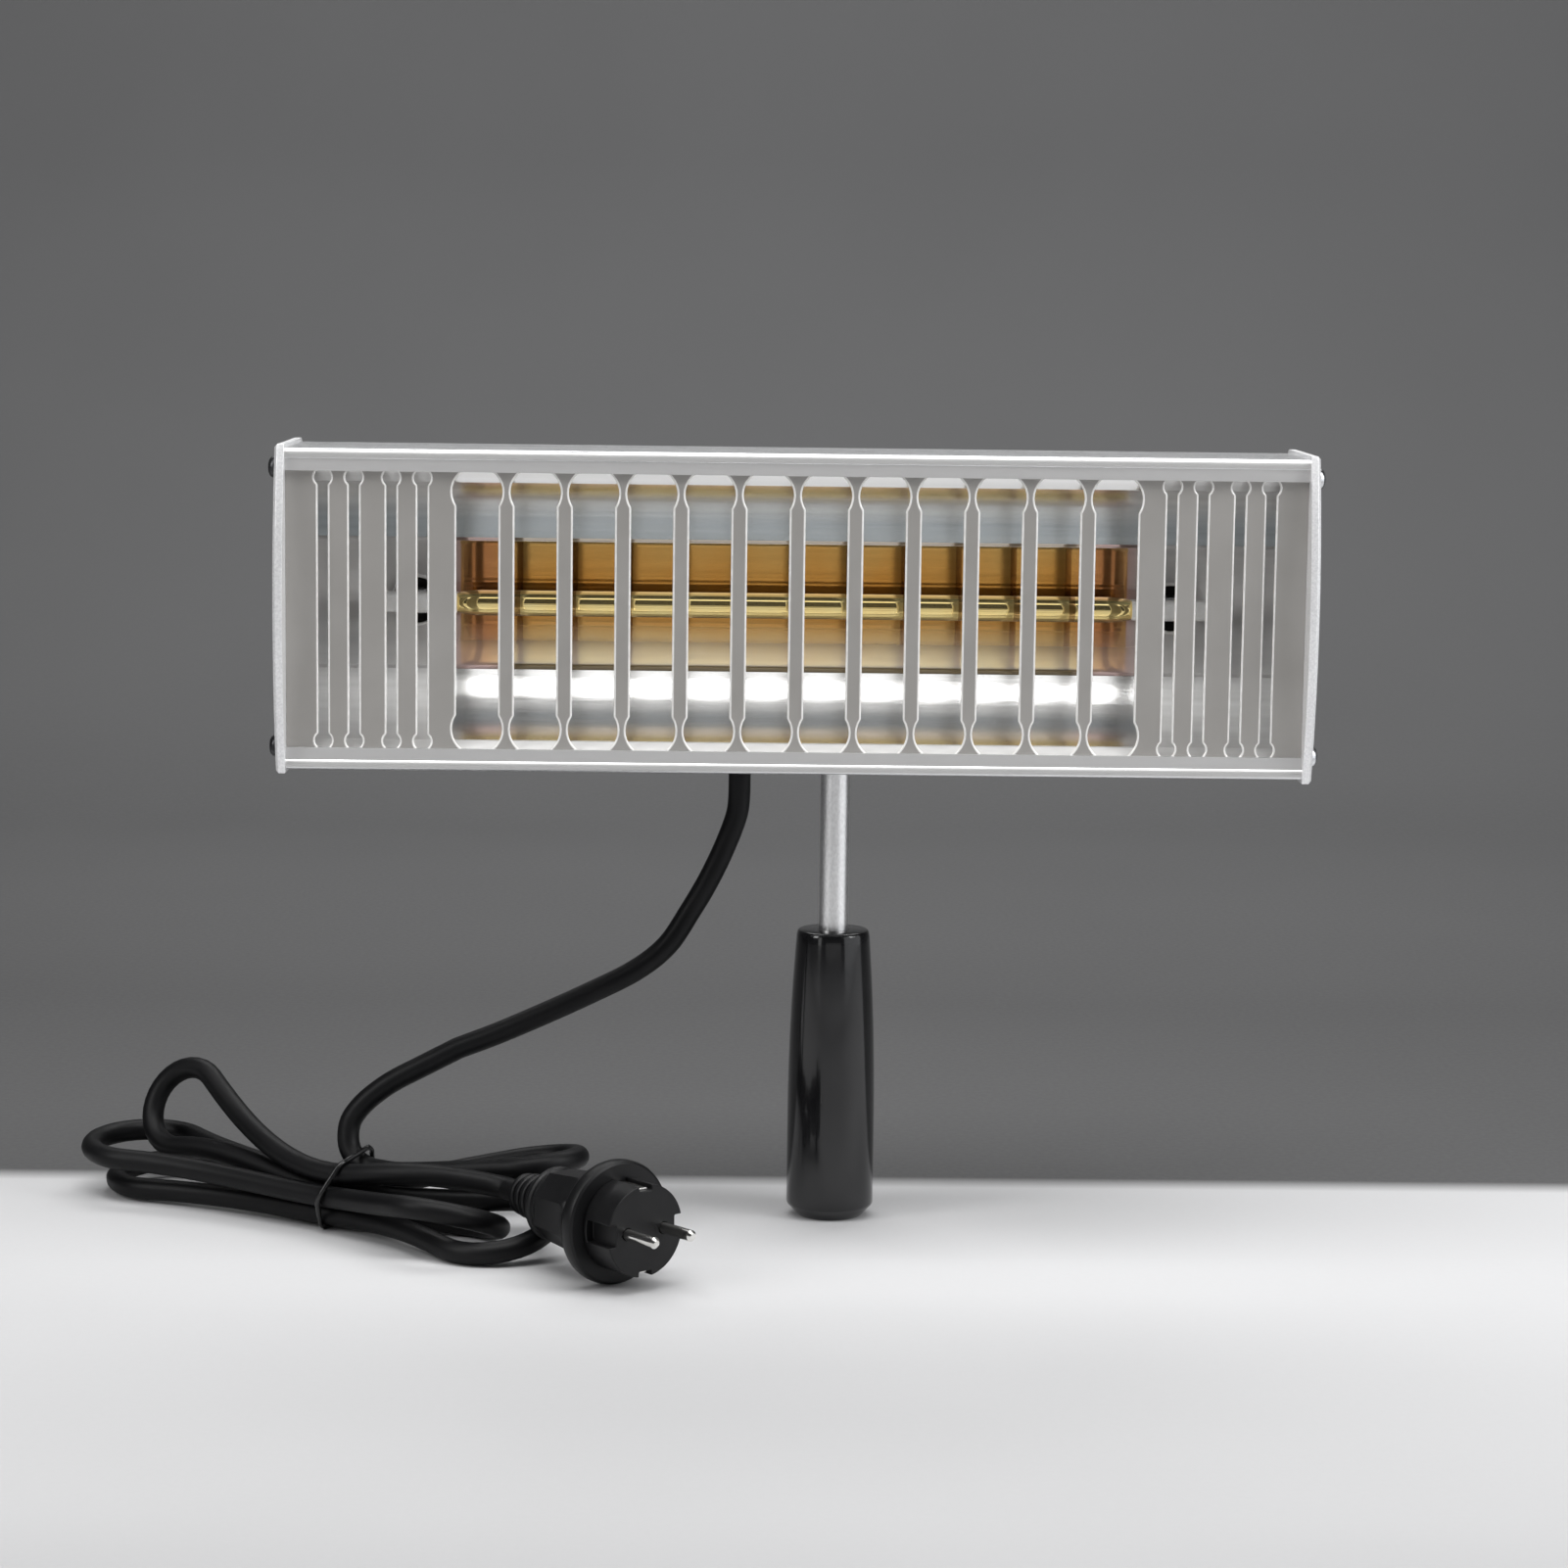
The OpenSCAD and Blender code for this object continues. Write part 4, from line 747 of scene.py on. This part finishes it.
# %% A turned solid and a screw to copy
def turned(name, profile, sides, place=Matrix(), shape=None):
    """Spins a profile of (radius, height) round Z; a radius of 0 closes an end."""
    points, faces, rings = [], [], []
    for r, h in profile:
        if r < 1e-6:
            rings.append([len(points)])
            points.append(Vector((0, 0, h)))
            continue
        rings.append(list(range(len(points), len(points) + sides)))
        for k in range(sides):
            a = 2 * math.pi * k / sides
            radius = shape(a, r, h) if shape else r
            points.append(Vector((radius * math.cos(a), radius * math.sin(a), h)))
    for a, b in zip(rings, rings[1:]):
        for k in range(sides):
            n = (k + 1) % sides
            quad = [a[k % len(a)], a[n % len(a)], b[n % len(b)], b[k % len(b)]]
            quad = [v for i, v in enumerate(quad) if v not in quad[:i]]
            if len(quad) > 2:
                faces.append(quad)
    return mesh_from(name, [place @ p for p in points], faces)

def screw_mesh(head, thread, length):
    dome = 0.42 * head
    profile = [(0, -length), (thread / 2 - 0.3, -length), (thread / 2, 0.3 - length),
               (thread / 2, 0), (head / 2 - 0.08, 0), (head / 2, 0.08),
               (head / 2, dome * 0.3), (head * 0.475, dome * 0.52),
               (head * 0.43, dome * 0.72), (head * 0.36, dome * 0.85),
               (head * 0.26, dome * 0.95), (head * 0.12, dome), (0, dome)]
    screw = put("screw", turned("screw", profile, 28))
    arm, thin = head * 0.25, head * 0.05
    corners = [Vector((x * arm * s, y * thin * s, z * dome))
               for z, s in ((0.45, 0.55), (1.3, 1.1))
               for x, y in ((-1, -1), (1, -1), (1, 1), (-1, 1))]
    box = [(3, 2, 1, 0), (4, 5, 6, 7), (0, 1, 5, 4), (1, 2, 6, 5), (2, 3, 7, 6),
           (3, 0, 4, 7)]
    for turn in (0, QUARTER):
        spin = Matrix.Rotation(turn, 3, "Z")
        cutter = put("cutter", mesh_from("cutter", [spin @ c for c in corners], box))
        screw.modifiers.new("cross", "BOOLEAN").object = cutter
        settle(screw)
        bpy.data.objects.remove(cutter)
    mesh = screw.data
    bpy.data.objects.remove(screw)
    return mesh

def screws(name, node, places, lean, sizes, skin, seed):
    """Sets a screw on every hole, each with its own roll. The sizes are those of
    its head, thread and length."""
    pattern = put("pattern", screw_mesh(*sizes))
    plan = Plan("screws on their holes", {"Lean X": lean[0], "Lean Y": lean[1],
                                          "Lean Z": lean[2], "Roll seed": seed})
    given = plan.given
    source = plan.node("GeometryNodeObjectInfo", {"Object": pattern})
    placed = plan.repeat(given["Geometry"], source.outputs["Geometry"], Rotation=plan.xyz(
        X=given["Lean X"], Y=given["Lean Y"], Z=given["Lean Z"]))
    roll = plan.node("FunctionNodeRandomValue", {3: math.pi, "Seed": given["Roll seed"]},
                     data_type="FLOAT")
    rolled = plan.add("GeometryNodeRotateInstances", {
        "Instances": placed, "Rotation": plan.xyz(Z=roll.outputs[1]),
        "Local Space": True})
    holes = bpy.data.meshes.new("holes")
    holes.from_pydata([Vector(p) * MM for p in places], [], [])
    mesh = plan.run(name, plan.skinned(plan.real(rolled), skin), holes)
    bpy.data.objects.remove(pattern)
    mesh.materials.clear()
    return add_piece(name, mesh, skin, body_of_node[node], [node], 35)

# %% Screws of the head
black_screw = finish(
    "blackened screw", (0.020, 0.020, 0.022), (0.05, 0.05, 0.053),
    (0.2, 0.34), 0.6, 3, 0.3, 5)
bright_screw = finish(
    "zinc screw", (0.60, 0.61, 0.63), (0.80, 0.81, 0.82),
    (0.16, 0.3), 1.0, 3, 0.3, 5)
cap_x, clip_x = 215, 161
backwards = (-QUARTER, 0.0, 0.0)
cap_screw = (9.3, 4.3, 14)
for side, colour, skin, seed in ((-1, "black", black_screw, 3),
                                 (1, "bright", bright_screw, 5)):
    screws("cap_screws_" + colour, "cap_screws_left" if side < 0 else "cap_screws_right",
           [head_mid + Vector((side * cap_x, y, z)) for y, z in
            ((11.5, 58), (11.5, -58), (59.7, 60.2), (59.7, -60.2))],
           (0.0, side * QUARTER, 0.0), cap_screw, skin, seed)
clip_holes = [head_mid + Vector((side * clip_x, 66, 0)) for side in (-1, 1)]
cover_holes = [Vector((-49 + side * 22, 5, z)) for z in (257, 307) for side in (-1, 1)]
bracket_holes = [Vector((x, -18, head_mid.z + z)) for x in (-16, 16) for z in (-24, 24)]
for node, holes, sizes, seed in (("clip_screws", clip_holes, (7.4, 4, 5), 11),
                                 ("cover_screws", cover_holes, (5.6, 3, 27.8), 13),
                                 ("bracket_screws", bracket_holes, (9, 5, 6.8), 17)):
    screws(node + "_zinc", node, holes, backwards, sizes, bright_screw, seed)
print("screws set")

# %% [markdown]
# ## The lamp tube
# The heart of the lamp is a gold coated quartz tube with a long tungsten coil
# inside, whose supports show through as dark bands every 23.5 mm. The tube is
# turned with bullet ends, and its finish paints the bands by the place along X.

# %% Gold coated quartz
def gold_with_bands(name, pitch, band, reach):
    made = Finish(name)
    calc = made.calc
    x = made.along("X", head_mid.x * MM)
    near = calc("PINGPONG", x, pitch * MM / 2)
    banded = calc("MULTIPLY", calc("LESS_THAN", near, band * MM / 2),
                  calc("LESS_THAN", calc("ABSOLUTE", x), reach * MM))
    gold = made.two_tones(made.grain(7, (3, 1, 1)), (1.0, 0.73, 0.26), (1.0, 0.82, 0.36))
    made.lift(made.grain(14, (4, 1, 1)), 5)
    return made.wear({
        "Base Color": made.mix(banded, gold, (0.50, 0.30, 0.09, 1)),
        "Roughness": made.between(made.grain(1.2), 0.01, 0.035),
        "Metallic": 0.9, "Coat Weight": 0.6, "Coat Roughness": 0.04})

gold_quartz = gold_with_bands("gold coated quartz", 23.5, 2.6, 119)
tube_depth = 44
lying = (Matrix.Translation(head_mid + Vector((0, tube_depth, 0)))
         @ Matrix.Rotation(QUARTER, 4, "Y"))
profile = [(2.0 + 3.5 * math.cos(a), 131 + 15 * math.sin(a))
           for a in (QUARTER * i / 12 for i in range(13))]
profile += [(2.0, 147), (2.0, 150.6), (1.7, 151), (0, 151)]
profile = [(r, -h) for r, h in reversed(profile)] + [
    (5.5, h) for h in (-110, -60, 0, 60, 110)] + profile
tube = add_piece("gold_tube", turned("gold_tube", profile, 72, lying), gold_quartz,
                 "head", ["quartz_tube"], 45)
print("tube", round(tube.dimensions.x / MM, 1), "mm")

# %% [markdown]
# ## Ceramic bases and spring clips
# A white, slightly chalky steatite block is cemented on each end of the tube, and
# a sprung steel clip holds it on the reflector's back. The round hole behind each
# base has a rim that follows the hollow of the strip; its bright colour is a
# painted highlight on the hole's edge.

# %% Bases and clips
ceramic = finish(
    "white steatite", (0.90, 0.895, 0.87), (0.97, 0.965, 0.95),
    (0.42, 0.6), 0.0, 2.5, 0.3, 20)
clip_steel = finish(
    "spring steel", (0.42, 0.43, 0.44), (0.62, 0.63, 0.64),
    (0.2, 0.34), 1.0, 6, 0.4, 6)
rim_radius, rim_width, rim_depth, focal_length = 10.4, 1.5, 55.9, 12
for name in ("left", "right"):
    dress("tube_base_" + name, [ceramic], 0.5, 3, 30)
    dress("tube_clip_" + name, [clip_steel], 0.15, 2, 30)
for side, name in ((-1, "left"), (1, "right")):
    rim = []
    for i in range(50):
        a = 2 * math.pi * i / 48
        up = rim_radius * math.sin(a)
        rim.append(head_mid + Vector((side * clip_x + rim_radius * math.cos(a),
                                      rim_depth - up * up / (4 * focal_length), up)))
    # The rim's bright finish is a painted highlight on the edge of the hole.
    add_piece("hole_rim_" + name, tube_mesh("rim", rim, [rim_width] * 50, 8), painted_highlight_edge,
              "head")
print("bases, clips and hole rims done")

# %% [markdown]
# ## Wiring inside the head
# These pieces are hidden, but a part on a shelf may be opened in a cut view. Their
# solids keep their meshes and each gets its own finish. The three coloured cores
# are told apart by their place along X.

# %% Finishes of the wiring
coat(finish("tungsten coil", (0.10, 0.095, 0.09), (0.26, 0.25, 0.24),
            (0.3, 0.5), 1.0, 1.5, 0.2, 20), "filament")
coat(finish("coil support", (0.06, 0.055, 0.05), (0.16, 0.15, 0.14),
            (0.35, 0.5), 1.0, 2, 0.3, 8), "filament_supports")
coat(finish("terminal brass", (0.55, 0.40, 0.16), (0.78, 0.60, 0.28),
            (0.2, 0.38), 1.0, 3, 0.3, 6), "terminal_screws", "earth_stud")
coat(finish("glass braid sleeve", (0.62, 0.59, 0.50), (0.86, 0.84, 0.77),
            (0.6, 0.8), 0.0, 1.4, 0.35, 60), "lamp_lead_left", "lamp_lead_right")
coat(finish("terminal china", (0.74, 0.72, 0.67), (0.87, 0.86, 0.82),
            (0.25, 0.4), 0.0, 5, 0.5, 10), "terminal_block")

def core_colours(name):
    made = Finish(name)
    blue, brown = (0.04, 0.13, 0.45), (0.22, 0.09, 0.035)
    along = made.between(made.along("X"), 0.0, 1.0, -0.060, -0.028)
    made.lift(made.grain(0.6), 8)
    return made.wear({
        "Base Color": made.tones(along, (0.0, blue), (0.33, blue), (0.36, brown),
                                 (0.56, brown), (0.60, (0.18, 0.42, 0.09)),
                                 (1.0, (0.55, 0.50, 0.05))),
        "Roughness": made.between(made.grain(2), 0.3, 0.45)})

coat(core_colours("cores by place"), "cord_cores")
print("wiring finished")

# %% [markdown]
# ## Junction cover, gland and boot
# The lead enters a black moulded cover on the head's back through a threaded
# gland, and a ribbed boot keeps it from kinking there. The boot's ribs repeat, so
# a tree sets one ring along a line and lets each ring grow a little.

# %% Cover and gland
moulding = finish(
    "black moulding", (0.016, 0.016, 0.017), (0.030, 0.030, 0.032),
    (0.34, 0.46), 0.0, 10, 0.5, 22)
dress("junction_cover", [moulding], 0.9, 4, 40)
dress("gland_body", [moulding], 0.35, 2, 28)
dress("gland_nut", [moulding], 0.4, 3, 28)
coat(moulding, "gland_locknut")
coat(cord_rubber, "cord_inlet")
print("cover and gland done")

# %% Rings along a line
def rings(name, place, **sizes):
    """Rounded rings on a line: how many, how far apart, how wide, how they grow."""
    plan = Plan("rings along a line", {"Ring " + key: value
                                       for key, value in sizes.items()})
    given, calc = plan.given, plan.calc
    section = plan.add("GeometryNodeCurvePrimitiveQuadrilateral", {
        "Width": given["Ring depth"], "Height": given["Ring width"]})
    soft = plan.node("GeometryNodeFilletCurve", {"Curve": section,
                                                 "Radius": given["Ring corner"]})
    soft.mode = "POLY"
    soft.inputs["Count"].default_value = 3
    line = plan.add("GeometryNodeMeshLine", {
        "Count": given["Ring count"], "Offset": plan.xyz(Z=given["Ring pitch"])})
    hoop = plan.add("GeometryNodeCurvePrimitiveCircle", {
        "Resolution": 56, "Radius": given["Ring radius"]})
    ring = plan.add("GeometryNodeCurveToMesh", {"Curve": hoop,
                                                "Profile Curve": soft.outputs[0]})
    grow = calc("ADD", 1.0, calc("MULTIPLY", plan.add("GeometryNodeInputIndex"), calc(
        "DIVIDE", given["Ring growth"], given["Ring radius"])))
    placed = plan.repeat(line, ring, Scale=plan.xyz(X=grow, Y=grow, Z=1.0))
    mesh = plan.run(name, plan.skinned(plan.real(placed), plug_rubber))
    mesh.transform(Matrix.Scale(MM, 4) @ place)
    mesh.materials.clear()
    return add_piece(name, clean(mesh), plug_rubber, "head")

boot_place = Matrix.Translation(exit_at)
add_piece("boot_sleeve", turned("boot_sleeve", [
    (4.95, 0.0), (5.9, 0.0), (6.2, 0.4), (7.4, 27.6), (7.1, 28), (4.95, 28),
    (4.95, 0)], 56, boot_place), plug_rubber, "head", ["cord_boot"], 40)
rings("boot_ribs", boot_place @ Matrix.Translation((0, 0, 2.3)), count=5, pitch=4.8,
      radius=6.25, growth=0.17, width=2.6, depth=1.5, corner=0.55)
print("boot done")

# %% [markdown]
# ## The tilt joint
# A painted steel bracket is screwed to the head's back. A bolt goes through its
# two ears and the eye of the rod, with nylon washers between them, and a lobed
# knob on the bolt's end clamps the tilt. Powder paint shows a fine orange peel.

# %% Bracket, bolt, washers and knob
powder_paint = finish(
    "powder paint", (0.022, 0.022, 0.024), (0.038, 0.038, 0.041),
    (0.32, 0.44), 0.0, 8, 1.1, 30)
nylon = finish(
    "natural nylon", (0.70, 0.69, 0.63), (0.82, 0.81, 0.76),
    (0.4, 0.5), 0.0, 4, 0.5, 8)
steel_washer_x = 12.4
dress("tilt_bracket", [powder_paint], 0.5, 3, 40)
dress("tilt_bolt", [bright_screw], 0.2, 2, 30)
dress("tilt_washers", [nylon, bright_screw], 0.15, 2, 40,
      lambda middle, normal: 1 if middle.x > steel_washer_x else 0)
dress("tilt_knob", [moulding], 1.1, 4, 40)
print("tilt joint done")

# %% [markdown]
# ## The rod and the grip
# The rod is a satin steel tube, pinned to its eye. The grip is a polished black
# moulding, a little fuller below its middle, with a chamfer round its foot. A
# clear coat over a faintly uneven surface bends its reflections.

# %% Rod
satin_steel = finish(
    "satin chromed rod", (0.80, 0.80, 0.80), (0.96, 0.96, 0.96),
    (0.28, 0.42), 1.0, 0.9, 0.4, 22, (1, 1, 2))
dress("rod", [satin_steel], 0.3, 2, 40)
dress("rod_eye", [satin_steel], 0.5, 3, 40)
coat(clip_steel, "rod_pin")
coat(satin_steel, "rod_insert")
coat(bright_screw, "grip_screw")
print("rod done")

# %% Grip
def grip_finish(name):
    made = Finish(name)
    wave = made.lift(made.grain(16, (1, 1, 2)), 30)
    made.lift(made.grain(0.8), 3, wave)
    return made.wear({
        "Base Color": made.two_tones(made.grain(22), (0.006, 0.006, 0.0065),
                                     (0.011, 0.011, 0.012)),
        "Roughness": made.between(made.grain(5, (1, 1, 3)), 0.10, 0.2),
        "Specular IOR Level": 0.35, "Coat Weight": 0.4, "Coat Roughness": 0.06})

def grip_radius(z, belly=19.2, belly_z=45, taper=3.3, run=83):
    return belly if z <= belly_z else belly - taper * ((z - belly_z) / run) ** 2

grip_gloss = grip_finish("polished grip")
profile = [(10.05, 2), (10.05, 0.3), (10.4, 0), (13.9, 0), (14.3, 0.15), (18.7, 4.8),
           (19.05, 5.4), (19.2, 6.2)]
profile += [(grip_radius(z), z) for z in range(9, 127, 3)]
profile += [(15.75, 127.1), (15.45, 127.7), (14.9, 128), (6.9, 128), (6.55, 127.65),
            (6.55, 16), (2.55, 16), (2.55, 6), (6, 6), (6, 2), (10.05, 2)]
add_piece("turned_grip", turned("turned_grip", profile, 96), grip_gloss, "handle",
          ["grip"], 38)
coat(grip_gloss, "grip_plug")
print("grip done")

# %% [markdown]
# ## The plug
# The lead ends in a moulded rubber plug that lies on its round flange. Its body
# is turned with a rule that shaves the barrel to an octagon, the rings on its
# neck come from the ring tree, and the rest are rounded copies of their solids.

# %% Plug body
plug_place = (Matrix.Translation(plug_at) @ Matrix.Rotation(plug_turn, 4, "Z")
              @ Matrix.Rotation(QUARTER, 4, "Y"))

def faceted(angle, radius, height, low=26, high=49, flat=14.6):
    """Shaves the barrel behind the flange to an octagon."""
    if not low < height < high:
        return radius
    turn = (angle + math.pi / 8) % (math.pi / 4) - math.pi / 8
    return min(radius, (flat + 0.09 * (height - low)) / math.cos(turn))

profile = [(0, 0), (6.7, 0), (7.2, 0.6), (8.2, 18.6), (9.6, 19.4), (13.2, 20.4),
           (15.0, 21.3), (15.7, 22.4), (15.7, 23.6), (15.2, 24.5), (14.4, 25.0),
           (14.3, 25.6)]
profile += [(17 + 0.06 * i, 26.4 + 1.5 * i) for i in range(14)]
profile += [(17.6, 47.6), (17.2, 49.2), (16.4, 50.4), (16, 51.6), (16, 56.8),
            (16.8, 58), (22.8, 58), (24.4, 58.35), (25.4, 59.3), (25.9, 60.6), (26, 62),
            (26, 64.2), (25.6, 65.3), (24.6, 66), (20, 66), (0, 66)]
plug = add_piece("plug_body", turned("plug_body", profile, 96, plug_place, faceted),
                 plug_rubber, "head", ["plug_shell"], 28)
neck = rings("plug_neck_rings", plug_place @ Matrix.Translation((0, 0, 2.6)), count=4,
             pitch=4.5, radius=7.7, growth=0.55, width=3.1, depth=2.6, corner=0.9)
nickel = finish(
    "nickel pin", (0.66, 0.65, 0.62), (0.82, 0.81, 0.79),
    (0.12, 0.24), 1.0, 4, 0.3, 4)
front = dress("plug_face", [plug_rubber], 0.6, 3, 35)
pins = dress("plug_pins", [nickel], 0.2, 2, 35)
contacts = dress("plug_contacts", [nickel], 0.12, 2, 35)
print("plug done, lead declared as", round(lead_length, 2), "m")

# %% [markdown]
# ## Table and light
# A metal lamp shows its surroundings, so the lights are shaped for it. A wide box
# above the front draws the bright line along the bead and the upper glint on the
# tube, the table throws back the lower one, and the dark room gives the band
# between. A low card in front adds a little light from below the view.

# %% Table
front_y, back_y, half_width, back_height = -3.2, 2.1, 3.6, 3.2
turn_y, turn_radius = 1.2, 0.9
# Grey values along Y: painted light and shade on the table and the wall, with a step from
# the pale table to the darker wall behind it.
painted_light_greys = [(front_y, 0.55), (-1.9, 0.80), (-0.95, 0.72), (-0.66, 0.36), (-0.42, 0.52),
         (0.052, 0.62), (0.062, 0.105), (0.5, 0.105), (1.3, 0.20), (back_y, 0.30)]

def table_finish():
    """Lightest far in front, darker about 0.66 m before the lamp, pale again at the lamp,
    and a dark wall behind that grows lighter as it rises: painted light and shade set
    along Y.
    """
    made = Finish("pale table")
    along = made.between(made.along("Y"), 0.0, 1.0, front_y, back_y)
    shade = made.tones(along, *(((y - front_y) / (back_y - front_y),
                                 (grey, grey, grey * 1.01)) for y, grey in painted_light_greys))
    cloud = made.tones(made.grain(260), (0.35, (0.97, 0.97, 0.97)), (0.65, (1, 1, 1)))
    made.lift(made.grain(2), 25)
    return made.wear({
        "Base Color": made.mix(1.0, shade, cloud, "MULTIPLY"),
        "Roughness": made.between(made.grain(3), 0.6, 0.7), "Specular IOR Level": 0.2})

line = [(front_y, 0.0)] + [
    (turn_y + turn_radius * math.sin(a), turn_radius - turn_radius * math.cos(a))
    for a in (QUARTER * i / 16 for i in range(17))] + [(back_y, back_height)]
table_mesh = bpy.data.meshes.new("table")
table_mesh.from_pydata(
    [(x, y, z) for y, z in line for x in (-half_width, half_width)], [],
    [(2 * i, 2 * i + 1, 2 * i + 3, 2 * i + 2) for i in range(len(line) - 1)])
table_mesh.materials.append(table_finish())
table_mesh.polygons.foreach_set("use_smooth", [True] * len(table_mesh.polygons))
table = put("table", table_mesh)
print("table set")

# %% Lights
def soft_box(name, place, aim, size, power, tint=(1, 1, 1)):
    light = put(name, bpy.data.lights.new(name, "AREA"))
    light.data.shape = "RECTANGLE"
    light.data.size, light.data.size_y = size
    light.data.energy = power
    light.data.color = tint
    light.location = place
    way = Vector(aim) - Vector(place)
    light.rotation_euler = way.to_track_quat("-Z", "Y").to_euler()

head_at, mid_at = (-0.02, -0.05, 0.25), (0, 0, 0.2)
soft_box("long box overhead", (0.0, -0.42, 1.5), head_at, (1.7, 0.75), 22)
soft_box("strip above the view", (0.0, -1.1, 1.45), head_at, (1.7, 0.26), 1.7)
soft_box("high box on the right", (1.15, -0.55, 1.0), mid_at, (0.5, 0.9), 9)
soft_box("tall box on the right", (1.5, -0.75, 0.5), mid_at, (1.9, 1.0), 7,
         (0.95, 0.97, 1.0))
soft_box("high box on the left", (-1.2, -0.7, 0.9), mid_at, (0.4, 0.9), 7)
soft_box("narrow box on the left", (-1.4, -1.5, 0.45), mid_at, (0.35, 0.8), 1.2)
soft_box("box over the back", (0.0, 0.9, 1.4), (0, 0, 0.25), (1.6, 0.5), 10)
soft_box("low card in front", (0.0, -2.75, 0.16), mid_at, (2.4, 0.30), 1.0)
world = bpy.data.worlds.new("dim room")
world.use_nodes = True
room = world.node_tree.nodes["Background"].inputs
room["Color"].default_value = (0.20, 0.20, 0.215, 1)
room["Strength"].default_value = 0.15
bpy.context.scene.world = world
bpy.context.scene.view_settings.view_transform = "Standard"
print("lights set")
